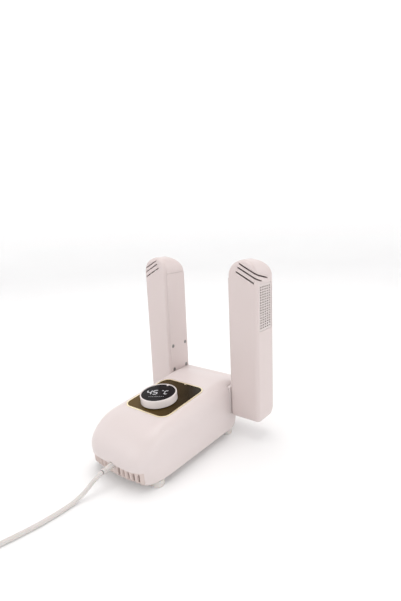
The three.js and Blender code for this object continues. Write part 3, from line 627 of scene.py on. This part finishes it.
def makeTie():
    # a flat band bent over the coil's bundle of turns, down to the floor on both sides
    half = cordLine["spacing"] + cordLine["diameter"] / 2 + tie["clear"]
    middle = coil["x"] + coil["middle"]
    top = tie["high"] + tie["clear"]

    def bent(out):
        r = tie["bend"] + out
        x0, x1, z1 = middle - half - out, middle + half + out, top + out
        left = [(x0, tie["foot"])] + arc(x0 + r, z1 - r, r, 180, 90, 8)
        right = arc(x1 - r, z1 - r, r, 90, 0, 8) + [(x1, tie["foot"])]
        return np.array(left + right)

    inner, outer = bent(0.0), bent(tie["thick"])
    y0, y1 = coil["y"] - tie["width"] / 2, coil["y"] + tie["width"] / 2
    section = [(inner, y0), (inner, y1), (outer, y1), (outer, y0)]
    rings = np.stack([points(line[:, 0], y, line[:, 1]) for line, y in section], 1)
    piece = sweep("coilTie", rings)
    return finish(piece, "base", "tie_rubber", "coil_tie")


cord = makeCord()
onCord = [makeRelief(), *makePlug(), makeTie()]
print("cord made")


# casing: the loaf

body = {
    "half": 61.0, "front": -120.0, "rear": 118.0, "frontSpan": 60.0, "rearSpan": 58.0, "wall": 2.5,
    "coreHalf": 38.0, "endCore": 0.08, "sideDrop": 26.0, "frontDrop": 43.0, "rearDrop": 44.0,
    "draft": 1.2, "foot": 9.0, "panelHeight": 79.7, "panelY": -12.0, "slope": 5.1, "power": 3.4, "swell": 3.0,
}
slope = math.radians(body["slope"])


def topAt(y):
    return body["panelHeight"] + math.tan(slope) * (y - body["panelY"])


def loafOutline(inset):
    # superellipse ends |x/a|^p + |y/b|^p = 1 on straight sides, taken at even angles
    perEnd, perSide = 96, 20
    a, power = body["half"] - inset, body["power"]
    turn = np.linspace(0, math.pi, perEnd + 1)
    c, s = np.cos(turn), np.sin(turn)
    ends = []
    rearCentre, frontCentre = body["rear"] - body["rearSpan"], body["front"] + body["frontSpan"]
    for centre, span, drop, flip in (
            (rearCentre, body["rearSpan"] - inset, body["rearDrop"], 1),
            (frontCentre, body["frontSpan"] - inset, body["frontDrop"], -1)):
        r = ((np.abs(c) / a) ** power + (s / span) ** power) ** (-1 / power)
        away = (r * s / span) ** power
        ends.append(points(flip * r * c, centre + flip * r * s, centre, away, drop))
    y = np.linspace(rearCentre, frontCentre, perSide + 2)[1:-1]
    left, right = (points(x, line, line, 0.0, body["sideDrop"]) for x, line in ((-a, y), (a, y[::-1])))
    return np.concatenate([ends[0], left, ends[1], right]).T


def swellAt(rimX, z):
    # the wall stands out round the front corners, most of all below mid-height, but not beside the arms
    share = np.sin(math.pi * np.clip((z - body["foot"]) / 56, 0, 1)) ** 2
    return body["swell"] * share * smooth(np.abs(rimX), 15, 50) * smooth(body["half"] - np.abs(rimX), 0, 6)


def loaf(name, inset, bottom):
    # rings from the rim up the drafted wall, round a shoulder with the power 2.2, to the flat top
    steps, shoulderPower = 36, 2.2
    x, y, centre, away, endDrop = loafOutline(inset)
    coreX = body["coreHalf"] * x / (body["half"] - inset)
    coreY = centre + (y - centre) * body["endCore"]
    run = np.hypot(x - coreX, y - coreY)
    drafted = 1 - body["draft"] * (1 - away) / run
    phi = np.linspace(0, math.pi / 2, steps + 1)[:, None]
    inward = np.clip(np.cos(phi), 0, 1) ** (2 / shoulderPower)
    inward[-1] = 0
    upward = np.sin(phi) ** (2 / shoulderPower)
    share = inward * drafted
    ringX = coreX + (x - coreX) * share
    ringY = coreY + (y - coreY) * share
    drop = body["sideDrop"] + (endDrop - body["sideDrop"]) * away
    ringZ = topAt(ringY) - inset - drop * (1 - upward)
    shoulder = points(ringX, ringY, ringZ)
    rim = points(x, y, bottom)
    climb = np.linspace(0, 1, 7)[:-1, None, None]
    wall = rim + (shoulder[0] - rim) * climb
    rings = np.concatenate([wall, shoulder])
    out = swellAt(x, rings[..., 2]) * (y < 0) / run
    rings[..., 0] += (x - coreX) * out
    rings[..., 1] += (y - coreY) * out
    return sweep(name, rings)


hub = {"front": 70.0, "rear": 120.0, "bottom": 34.0, "top": 78.0, "half": 61.0, "wall": 3.0, "bore": 18.1,
       "edge": 1.4, "corners": (2.0, 18.0, 5.0, 1.5), "innerCorners": (1, 15, 3, 1), "mouth": 9.0}
intake = {"half": 50.0, "top": 27.0, "recess": 3.5, "exit": 25.0, "exitRadius": 4.65}
undercut = {"wall": 86.0, "radius": 14.0}
gap = 0.3


def onPanel(x, y, z):
    # from the sloped panel's own frame to the object's
    return x, body["panelY"] + y * math.cos(slope) - z * math.sin(slope), (
        body["panelHeight"] + y * math.sin(slope) + z * math.cos(slope))


def onKnob(x, y, z):
    return onPanel(x, y + knobY, z)


def plate(name, halfX, halfY, corner, profile, closed=False, bump=0.0):
    # a rounded rectangle, inset and raised along a profile of insets and heights; its inner edge can have
    # a bump at the rear, bump * e^-((x - middle) / half)^4 deep
    rings, perSide = [], 60
    for inset, z in profile:
        x, y = roundedRing(-halfX + inset, halfX - inset, -halfY + inset, halfY - inset,
                           max(corner - inset, 0.4), 10, perSide)
        if inset >= panel["bumpInset"]:
            rear = y > halfY - inset - 1e-6
            y = y - np.where(rear, bump * np.exp(-((x - panel["bumpX"]) / panel["bumpHalf"]) ** 4), 0)
        rings.append(points(*onPanel(x, y, z)))
    return sweep(name, rings, along=closed)


panel = {
    "width": 83.0, "length": 95.0, "corner": 14.0, "rim": 2.0, "proud": 0.4, "thick": 1.2, "well": 17.0,
    "hole": 12.5, "bump": 2.6, "bumpX": 2.4, "bumpHalf": 1.9, "bumpInset": 1.2,
}
knob = {
    "radius": 27.2, "base": 1.4, "height": 13.0, "rim": 1.9, "setback": 12.5, "bore": 8.3, "sleeve": 11.0,
    "pointerTurn": 6.0,
}
knobY = -knob["setback"] / math.cos(slope)


def exitHole():
    return rod("exitHole", intake["exitRadius"], -30, 20, 40,
               lambda x, y, z: (x, body["front"] - z, intake["exit"] + y))


def makeCasing():
    piece = loaf("upperShell", 0.0, body["foot"])
    low, high = hub["bottom"] - gap, hub["top"] + gap
    cy, cz, r = undercut["wall"] - undercut["radius"], body["foot"] + undercut["radius"], undercut["radius"]
    under = [(cy, 0)] + arc(cy, cz, r, -90, 0, 16) + [(undercut["wall"], low), (150, low), (150, 0)]
    recess = plate("recess", panel["width"] / 2 + gap, panel["length"] / 2 + gap, panel["corner"] + gap,
                   [(0, -panel["thick"] - gap), (0, 12)])
    well = rod("well", panel["well"], -9, 9, 48, onKnob)
    carve(piece, loaf("hollow", body["wall"], body["foot"] - 4), recess, well,
          block("hubSpace", (-70, hub["front"] - gap, low), (70, 150, high)),
          drawnX("underRear", under, -70, 70),
          block("band", (-intake["half"], -150, 0), (intake["half"], -88, intake["top"])), exitHole())
    return finish(softened(piece, 0.35, 55), "base", "casing_white", "upper_shell")


def makeHub():
    # the block's rounded profile, drawn in at both ends for a soft edge, hollow and open to the front
    r = hub["edge"]
    steps = np.linspace(0, math.pi / 2, 6)
    inset = np.concatenate([r * (1 - np.sin(steps)), r * (1 - np.sin(steps[::-1]))])
    x = np.concatenate([-hub["half"] + r * (1 - np.cos(steps)), hub["half"] - r * (1 - np.cos(steps[::-1]))])
    rings = []
    for d, at in zip(inset, x):
        lowFront, lowRear, topRear, topFront = hub["corners"]
        y, z = roundedRing(hub["front"] + d, hub["rear"] - d, hub["bottom"] + d, hub["top"] - d,
                           [lowFront, lowRear - d, topRear - d, max(topFront - d, 0.3)], 10)
        rings.append(points(at, y, z))
    piece = sweep("hubHousing", rings)
    w = hub["wall"]
    y, z = roundedRing(hub["front"] - hub["mouth"], hub["rear"] - w, hub["bottom"] + w, hub["top"] - w,
                       hub["innerCorners"], 8)
    inner = hub["half"] - w
    hollow = drawnX("hollow", points(y, z), -inner, inner)
    bores = [rod("bore", hub["bore"], 0, 8, 48,
                 aimedX(arm["pivotY"], arm["pivotZ"], side * (inner - 2), side)) for side in (-1, 1)]
    carve(piece, hollow, *bores)
    return finish(piece, "base", "casing_white", "hub_housing")


# arms

arm = {
    "section": 50.0, "inner": 61.5, "front": 70.0, "bottom": 31.0, "top": 277.0, "wall": 2.2, "edge": 6.0,
    "pivotY": 95.0, "pivotZ": 56.0, "collar": 15.3, "coverTop": 250.0,
    "tipFront": 11.0, "tipRear": 30.0, "footFront": 6.0, "footRear": 14.0, "footSide": 3.0,
}
tipSlits = [  # along X from the inner side, back from the front face, below the tip
    {"from": 15.5, "to": 45.5, "depth": 6.0, "drop": 18.6},
    {"from": 18.5, "to": 53.0, "depth": 15.0, "drop": 10.4},
    {"from": 20.5, "to": 53.0, "depth": 32.0, "drop": 3.6},
]
slitSlope = {"x": -0.53, "y": -0.25, "origin": 18.5, "width": 2.4}
vent = {
    "margin": 6.5, "low": 172.0, "high": 242.0, "corner": 2.5, "sunk": 0.3, "ledge": 4.5,
    "columns": 5, "rows": 17, "across": 6.5, "up": 3.75, "slotHalf": 2.1, "hole": 0.95,
}
armScrews = [(front, z) for z in (81.0, 123.0) for front in (79.0, 111.0)]


def armSolid(name, inset, shift=0.0):
    # level sections of the arm: a rounded rectangle whose width follows the arched tip seen from the
    # front, and whose depth follows the rounded corners seen from the side
    half = arm["section"] / 2 - inset
    middle = arm["inner"] + arm["section"] / 2 + shift
    low, spring = arm["bottom"] + inset, arm["top"] - arm["section"] / 2
    bend = np.linspace(0, math.pi / 2, 15)
    z = np.concatenate([
        low + arm["footRear"] * (1 - np.cos(bend)), np.linspace(low + arm["footRear"], spring, 24)[1:-1],
        spring + half * np.sin(np.linspace(0, math.pi / 2, 41))])
    halfX = np.sqrt(np.clip(half ** 2 - np.clip(z - spring, 0, None) ** 2, 0, None))

    def corner(radius, distance):
        return radius - np.sqrt(radius ** 2 - (radius - np.clip(distance, 0, radius)) ** 2)

    halfX = np.maximum(halfX - corner(arm["footSide"], z - low), 0.02)
    down = arm["top"] + 1 - inset - z
    y0 = arm["front"] + inset + corner(arm["footFront"], z - low) + corner(arm["tipFront"], down)
    y1 = (arm["front"] + arm["section"] - inset - corner(arm["footRear"], z - low)
          - corner(arm["tipRear"], down))
    radius = np.minimum(max(arm["edge"] - inset, 2.0), halfX * 0.92)
    x, y = roundedRing(middle - halfX, middle + halfX, y0, y1, radius, 7, 3)
    return sweep(name, points(x, y, z[:, None]))


def tipSlit(slit):
    # a slab that slopes down to the outer side and to the rear
    lead = 5
    x = arm["inner"] + np.array([slit["from"], slit["to"], slit["to"], slit["from"]])
    y = arm["front"] + np.array([-lead, -lead, slit["depth"], slit["depth"]])
    top = arm["top"] - slit["drop"] + slitSlope["x"] * (x - arm["inner"] - slitSlope["origin"])
    z = top + slitSlope["y"] * (y - arm["front"])
    half = slitSlope["width"] / 2
    return sweep("tipSlit", [points(x, y, z - half), points(x, y, z + half)])


def ventSolid(name, inset, x0, x1):
    margin = vent["margin"] + inset
    y, z = roundedRing(arm["front"] + margin, arm["front"] + arm["section"] - margin,
                       vent["low"] + inset, vent["high"] - inset, vent["corner"] - inset, 6)
    return drawnX(name, points(y, z), x0, x1)


def makeArmShell():
    outerX = arm["inner"] + arm["section"]
    shell = armSolid("armShell", 0.0)
    window = ventSolid("window", 0.0, outerX - vent["ledge"], outerX + 2)
    slots = [tipSlit(slit) for slit in tipSlits]
    opening = armSolid("opening", arm["wall"], -2 * arm["wall"])
    carve(opening, block("below", (0, 0, 0), (200, 200, arm["coverTop"])), operation="INTERSECT")
    carve(shell, armSolid("hollow", arm["wall"]), opening, window, *slots)
    return softened(shell, 0.3, 60)


def makeArmCover():
    # the plate that closes the arm's inner side, with sunk screw holes and the pivot's bore
    low, high = arm["inner"], arm["inner"] + arm["wall"]
    cover = armSolid("armCover", arm["wall"] + gap, -2 * arm["wall"])
    carve(cover, block("slab", (low, 60, 20), (high, 130, arm["coverTop"] - gap)), operation="INTERSECT")
    sunk = [(0, -1), (3.3, -1), (3.3, 1.2), (1.8, 1.2), (1.8, 4), (0, 4)]  # seat, then the shank's hole
    holes = [lathe("hole", sunk, 32, aimedX(y, z, low)) for y, z in armScrews]
    bore = rod("bore", arm["collar"], -1, 4, 64, aimedX(arm["pivotY"], arm["pivotZ"], low))
    return softened(carve(cover, *holes, bore), 0.25, 60)


def makeArmVent():
    # the perforated plate, its holes eased at the outer face
    outerX = arm["inner"] + arm["section"]
    face = outerX - vent["sunk"]
    solid = ventSolid("armVent", gap, outerX - arm["wall"] + gap, face)
    r, reach = vent["hole"], vent["slotHalf"] - vent["hole"]
    middleZ = (vent["low"] + vent["high"]) / 2
    profile = [(0, -5), (r, -5), (r, -0.4), (r + 0.1, -0.16), (r + 0.35, 0), (r + 0.5, 1), (0, 1)]
    holes = []
    for i in range(vent["columns"]):
        for j in range(vent["rows"]):
            y = arm["pivotY"] + (i - (vent["columns"] - 1) / 2) * vent["across"]
            z = middleZ + (j - (vent["rows"] - 1) / 2) * vent["up"]
            holes.append(lathe("hole", profile, 18, lambda a, b, c: (
                face + c, y + a + reach * np.sign(np.round(a, 6)), z + b)))
    return carve(solid, joined("holes", holes))


armScrewSize = {"head": 3.0, "depth": 1.0, "length": 12.0, "shank": 1.3}


def makeScrew(name, place, size, body, node):
    # a domed head with a cross recess: height is a function of radius and angle
    head, depth, length, shank = size.values()
    r = np.concatenate([np.linspace(0.02, 0.62, 12), np.linspace(0.68, 1, 8)]) * head
    turn = fullTurn(48)
    radius, angle = np.meshgrid(r, turn, indexing="ij")
    x, y = radius * np.cos(angle), radius * np.sin(angle)
    cross = np.maximum(1 - smooth(np.abs(x), 0.28, 0.46), 1 - smooth(np.abs(y), 0.28, 0.46))
    recess = cross * (1 - smooth(radius, 0.50 * head, 0.60 * head))
    z = 0.18 * (radius / head) ** 2 * head / 3 + 0.75 * recess * depth
    rings = [place(*values) for values in zip(x, y, z)]
    for q, h in ((head, depth), (shank, depth), (shank, depth + length - 1), (0.3, depth + length)):
        rings.append(place(q * np.cos(turn), q * np.sin(turn), h))
    piece = sweep(name, [points(*ring) for ring in rings])
    return finish(piece, body, "steel_parts", node, look=screwSteel)


def makeArms():
    shapes = (("Shell", makeArmShell(), "arm_white"), ("Cover", makeArmCover(), "arm_white"),
              ("Vent", makeArmVent(), "vent_white"))
    for side, flip in (("right", 1), ("left", -1)):
        for word, shape, slot in shapes:
            piece = shape if flip > 0 else mirrored(shape, f"leftArm{word}")
            piece.name = f"{side}Arm{word}"
            finish(piece, f"{side}_arm", slot, f"{side}_arm_{word.lower()}")
        for number, (y, z) in enumerate(armScrews, 1):
            place = aimedX(y, z, flip * (arm["inner"] + 0.1), flip)
            makeScrew(f"{side}ArmScrew{number}", place, armScrewSize, f"{side}_arm",
                      f"{side}_arm_screw_{number}")


makeCasing()
makeHub()
print("casing made")
makeArms()
print("arms made")


# intake grille: separate ribs between two rails, curving under at the foot

ribs = {"pitch": 8.8, "slit": 2.0, "count": 5, "groove": 3.2, "depth": 4.2, "under": 5.0, "bend": 9.5}


def frontLine(x):
    # the front end of the loaf's outline and its outward direction
    a, b, power = body["half"], body["frontSpan"], body["power"]
    away = b * np.clip(1 - np.abs(x / a) ** power, 0, 1) ** (1 / power)
    y = body["front"] + body["frontSpan"] - away
    nx, ny = np.sign(x) * np.abs(x / a) ** (power - 1) / a, -(away / b) ** (power - 1) / b
    size = np.hypot(nx, ny)
    return y, nx / size, ny / size


def bandInset(x, z):
    # set back in the middle, flush with the casing at the ends, and curved under towards the floor
    share = np.abs(x / intake["half"])
    low = np.clip((body["foot"] + ribs["bend"] - z) / ribs["bend"], 0, 1)
    under = ribs["under"] * (1 - np.sqrt(1 - 0.92 * low ** 2)) * (1 - share ** 4)
    return intake["recess"] * (1 - share ** 5) + 0.1 + under - swellAt(x, z)


def bandBar(name, x0, x1, heights, out, depth):
    # a bar of the band between two places along X; out gives its face from the place across it and the height
    u = np.linspace(-1, 1, max(9, int((x1 - x0) * 2)))
    x = (x0 + x1) / 2 + u * (x1 - x0) / 2
    y, nx, ny = frontLine(x)
    rings = []
    for z in heights:
        face = bandInset(x, z) - out(u, z)
        back = bandInset(x, z) + depth
        front, rear = (points(x - nx * inset, y - ny * inset, z) for inset in (face, back))
        rings.append(np.concatenate([front, rear[::-1]]))
    return sweep(name, rings)


def makeGrille():
    half, top, low = intake["half"] - gap, intake["top"] - gap, body["foot"] + gap
    full = np.concatenate([np.linspace(low, 20, 24), np.linspace(20.5, top - 0.4, 10), [top]])
    rail, slit = ribs["depth"] - 1.0, ribs["slit"] / 2

    def ribFace(u, z):
        return -ribs["groove"] * np.abs(u) ** 2.6 * (1 - smooth(z, 19, 25.5)) - 0.4 * (z > top - 0.1)

    def plainFace(u, z):
        return 0 * u - 0.4 * (z > top - 0.1)

    parts = [bandBar("topRail", -half + 0.2, half - 0.2, [23.6, 24, top - 0.5, top - 0.05],
                     lambda u, z: 0 * u - 0.15 - 0.4 * (z > top - 0.1), rail),
             bandBar("lowRail", -half + 0.2, half - 0.2, [low + 0.05, low + 0.5, 11, 11.5],
                     lambda u, z: 0 * u - 1.5, rail)]
    for sign in (-1, 1):
        for k in range(1, ribs["count"]):
            ends = sorted((sign * (k * ribs["pitch"] + slit), sign * ((k + 1) * ribs["pitch"] - slit)))
            parts.append(bandBar("rib", *ends, full, ribFace, ribs["depth"]))
        ends = sorted((sign * (ribs["count"] * ribs["pitch"] + slit), sign * half))
        parts.append(bandBar("end", *ends, full, plainFace, ribs["depth"]))
    reach = ribs["pitch"] - slit
    parts.append(bandBar("middle", -reach, reach, full, plainFace, ribs["depth"] - 0.5))
    for part in (parts[0], parts[-1]):
        carve(part, exitHole())
    piece = joined("intakeGrille", parts)
    return finish(piece, "base", "tray_white", "intake_grille")


makeGrille()
print("intake made")


# control panel, knob and display

def makePanel():
    halfX, halfY, corner = panel["width"] / 2, panel["length"] / 2, panel["corner"]
    top, rim, low = panel["proud"], panel["rim"], -panel["thick"]
    profile = [(0, low)] + [(0.45 - q[0], q[1]) for q in arc(0, top - 0.45, 0.45, 0, 90, 4)] + [
        (rim - 0.3, top), (rim - 0.08, top - 0.1), (rim, top - 0.3), (rim, low)]
    bezel = plate("panelBezel", halfX, halfY, corner, profile, closed=True, bump=panel["bump"])
    finish(bezel, "base", "trim_gold", "panel_bezel")
    edge = rim + 0.12
    profile = [(edge, low), (edge, 0.0), (edge + 0.12, 0.08), (edge + 0.35, 0.12)]
    glass = plate("controlPanel", halfX, halfY, corner, profile, bump=panel["bump"])
    carve(glass, rod("hole", panel["hole"], -5, 5, 64, onKnob))
    finish(glass, "base", "panel_black", "control_panel")


def makeKnob():
    r, top, rim, base, bore = (knob[key] for key in ("radius", "height", "rim", "base", "bore"))
    profile = [(bore, -6), (knob["sleeve"], -6), (knob["sleeve"], 2.2), (r - rim, 2.2), (r - rim, base)]
    profile += arc(r - 0.6, base + 0.6, 0.6, -90, 0, 5)
    profile += [(r - 0.05, base + 3), (r - 0.12, top - 3)] + arc(r - 0.95, top - 0.85, 0.85, 0, 90, 7)
    profile += arc(r - rim + 0.3, top - 0.3, 0.3, 90, 180, 4)
    profile += [(r - rim, 4), (bore, 4), (bore, -6)]
    ring = lathe("knobRing", profile, 160, onKnob)
    # a blunt wedge on the rim points at the display
    turn = math.radians(knob["pointerTurn"])
    x, y = np.array([-2.6, 2.6, 1.0, -1.0]), np.array([r - 0.9, r - 0.9, r - 5.2, r - 5.2])
    x, y = x * math.cos(turn) - y * math.sin(turn), x * math.sin(turn) + y * math.cos(turn)
    cx, cy = x.mean(), y.mean()
    tab = [points(*onKnob(cx + (x - cx) * d, cy + (y - cy) * d, z))
           for d, z in ((1, top - 1.2), (1, top + 0.1), (0.9, top + 0.3), (0.7, top + 0.38))]
    piece = joined("knobRing", [ring, sweep("pointer", tab)])
    finish(piece, "knob", "knob_white", "knob_ring")
    lensTop, lensRadius = top - 0.7, r - rim - 0.25
    profile = [(0, lensTop - 1.5), (lensRadius, lensTop - 1.5)]
    profile += arc(lensRadius - 0.4, lensTop - 0.4, 0.4, 0, 90, 5)
    profile += [(lensRadius * 0.5, lensTop + 0.05), (0, lensTop + 0.06)]
    lens = lathe("displayLens", profile, 128, onKnob)
    finish(lens, "knob_press", "lens_black", "display_lens")
    return lensTop


segments = {"4": "bcfg", "5": "acdfg", "C": "adef"}
digit = {
    "height": 11.5, "width": 6.0, "bar": 1.5, "slant": 0.05, "turn": 30.0, "lift": 1.2,
    "figures": (("4", -17.0, 1.0), ("5", -8.0, 1.0), ("C", 9.4, 0.8)),  # each with its place and its size
    "degree": (5.6, 5.4, 1.1), "marks": 9, "markPitch": 2.6,
}


def segmentBar(x0, y0, x1, y1, bar):
    # a bar with pointed ends between two points
    a, b = np.array([x0, y0]), np.array([x1, y1])
    along = (b - a) / np.linalg.norm(b - a)
    across = np.array([-along[1], along[0]])
    h = bar / 2
    a, b = a + along * 0.22, b - along * 0.22
    return [a, a + (along - across) * h, b - (along + across) * h, b, b - (along - across) * h,
            a + (along + across) * h]


def makeDigits(lensTop):
    # seven-segment figures lying on the display, read from the front
    h, w = digit["height"], digit["width"]
    ends = {"a": (0, h, w, h), "b": (w, h / 2, w, h), "c": (w, 0, w, h / 2), "d": (0, 0, w, 0),
            "e": (0, 0, 0, h / 2), "f": (0, h / 2, 0, h), "g": (0, h / 2, w, h / 2)}
    parts = []

    def raised(outline):
        ring = np.array(outline)
        turn = math.radians(digit["turn"])
        x, y = ring[:, 0] + ring[:, 1] * digit["slant"], ring[:, 1]
        x, y = x * math.cos(turn) - y * math.sin(turn), x * math.sin(turn) + y * math.cos(turn)
        parts.append(sweep("bar", [points(*onKnob(x, y, lensTop + z)) for z in (0.07, 0.13)]))

    for sign, x, size in digit["figures"]:
        for key in segments[sign]:
            x0, y0, x1, y1 = ends[key]
            outline = segmentBar(x0 * size, y0 * size, x1 * size, y1 * size, digit["bar"])
            raised([(px + x, py - h / 2 + digit["lift"]) for px, py in outline])
    x, y, r = digit["degree"]
    raised([(x + r * math.cos(t), y + r * math.sin(t)) for t in fullTurn(16)])
    for k in range(digit["marks"]):  # level marks under the figures
        x = (k - (digit["marks"] - 1) / 2) * digit["markPitch"]
        raised([(x - 0.8, -12.0), (x + 0.8, -12.0), (x + 0.8, -11.5), (x - 0.8, -11.5)])
    piece = joined("displayDigits", parts)
    return finish(piece, "knob_press", "lens_black", look=digitGlow(), weighted=False)


makePanel()
makeDigits(makeKnob())
print("controls made")


# feet and case screws

screwZ = 9.1
foot = {"radius": 9.0, "height": 8.7, "x": 52.0, "frontY": -88.5, "rearY": 69.0, "stem": 2.6}
caseScrews = [(x, y) for y in (-70.0, 48.0) for x in (-44.0, 44.0)]
caseScrewSize = {"head": 3.1, "depth": 1.2, "length": 13.5, "shank": 1.3}


def makeFeet():
    r, h = foot["radius"], foot["height"]
    profile = [(0, 0.4), (r - 4.0, 0.4), (r - 3.4, 0)] + arc(r - 1.6, 1.6, 1.6, -90, 0, 6)
    profile += [(r - 0.1, 4.0)] + arc(r - 0.9, h - 0.7, 0.7, 0, 90, 4)
    profile += [(foot["stem"], h), (foot["stem"], 14), (0, 14)]
    places = [(x, y) for y in (foot["frontY"], foot["rearY"]) for x in (-foot["x"], foot["x"])]
    for number, (x, y) in enumerate(places, 1):
        piece = lathe(f"foot{number}", profile, 48, movedBy(x, y))
        finish(piece, "base", "foot_rubber", f"foot_{number}")
    for number, (x, y) in enumerate(caseScrews, 1):
        place = movedBy(x, y, screwZ)
        makeScrew(f"caseScrew{number}", place, caseScrewSize, "base", f"case_screw_{number}")


makeFeet()
print("feet made")


# studio: a pale round backdrop and soft lights

studio = {"floor": 2.2, "bend": 1.3, "wall": 1.6, "world": 0.60, "over": 13.5, "side": 2.0, "front": 1.5}


def makeStudio():
    # floor, a quarter-round and a wall, carried right round so that every view has the same ground
    profile = [(0.0, 0.0), (studio["floor"], 0.0)]
    profile += arc(studio["floor"], studio["bend"], studio["bend"], -90, 0, 20)
    profile += [(studio["floor"] + studio["bend"], studio["bend"] + studio["wall"])]
    profile = np.array(profile) / metre
    sides = 96
    turn = fullTurn(sides)
    rings = points(profile[:, :1] * np.cos(turn), profile[:, :1] * np.sin(turn), profile[:, 1:])
    faces = gridFaces(len(profile), sides, caps=(False, False))
    floor = meshObject("studioFloor", rings, faces, recalculate=False)
    floor.data.polygons.foreach_set("use_smooth", np.ones(len(floor.data.polygons), bool))
    f = Finish("paleFloor", {"Roughness": 0.75, "Emission Strength": 1.0})
    f.feed("Base Color", f.mix((0.86, 0.87, 0.875), (0.89, 0.90, 0.905), f.noise(3, 3)))
    f.feed("Emission Color", f.mix((0.06, 0.06, 0.06), (0.55, 0.55, 0.55), f.ramp(f.axis("Z"), 0.02, 1.6)))
    floor.data.materials.append(f.material)
    world = bpy.data.worlds.new("softSky")
    world.use_nodes = True
    background = world.node_tree.nodes["Background"]
    background.inputs["Color"].default_value = (1.0, 0.955, 0.945, 1)
    background.inputs["Strength"].default_value = studio["world"]
    scene.world = world
    lamps = (("overLight", (-0.2, 0.25, 1.9), 1.6, studio["over"]),
             ("sideLight", (1.7, 0.4, 0.9), 1.0, studio["side"]),
             ("frontLight", (-0.7, -1.5, 0.9), 1.0, studio["front"]))
    for name, place, size, power in lamps:
        data = bpy.data.lights.new(name, "AREA")
        data.shape = "DISK"
        data.size = size
        data.energy = power
        data.color = (1.0, 0.97, 0.95)
        lamp = linked(name, data)
        lamp.location = place
        lamp.rotation_euler = (Vector((0, 0, 0.1)) - Vector(place)).to_track_quat("-Z", "Y").to_euler()


makeStudio()
print("studio made")
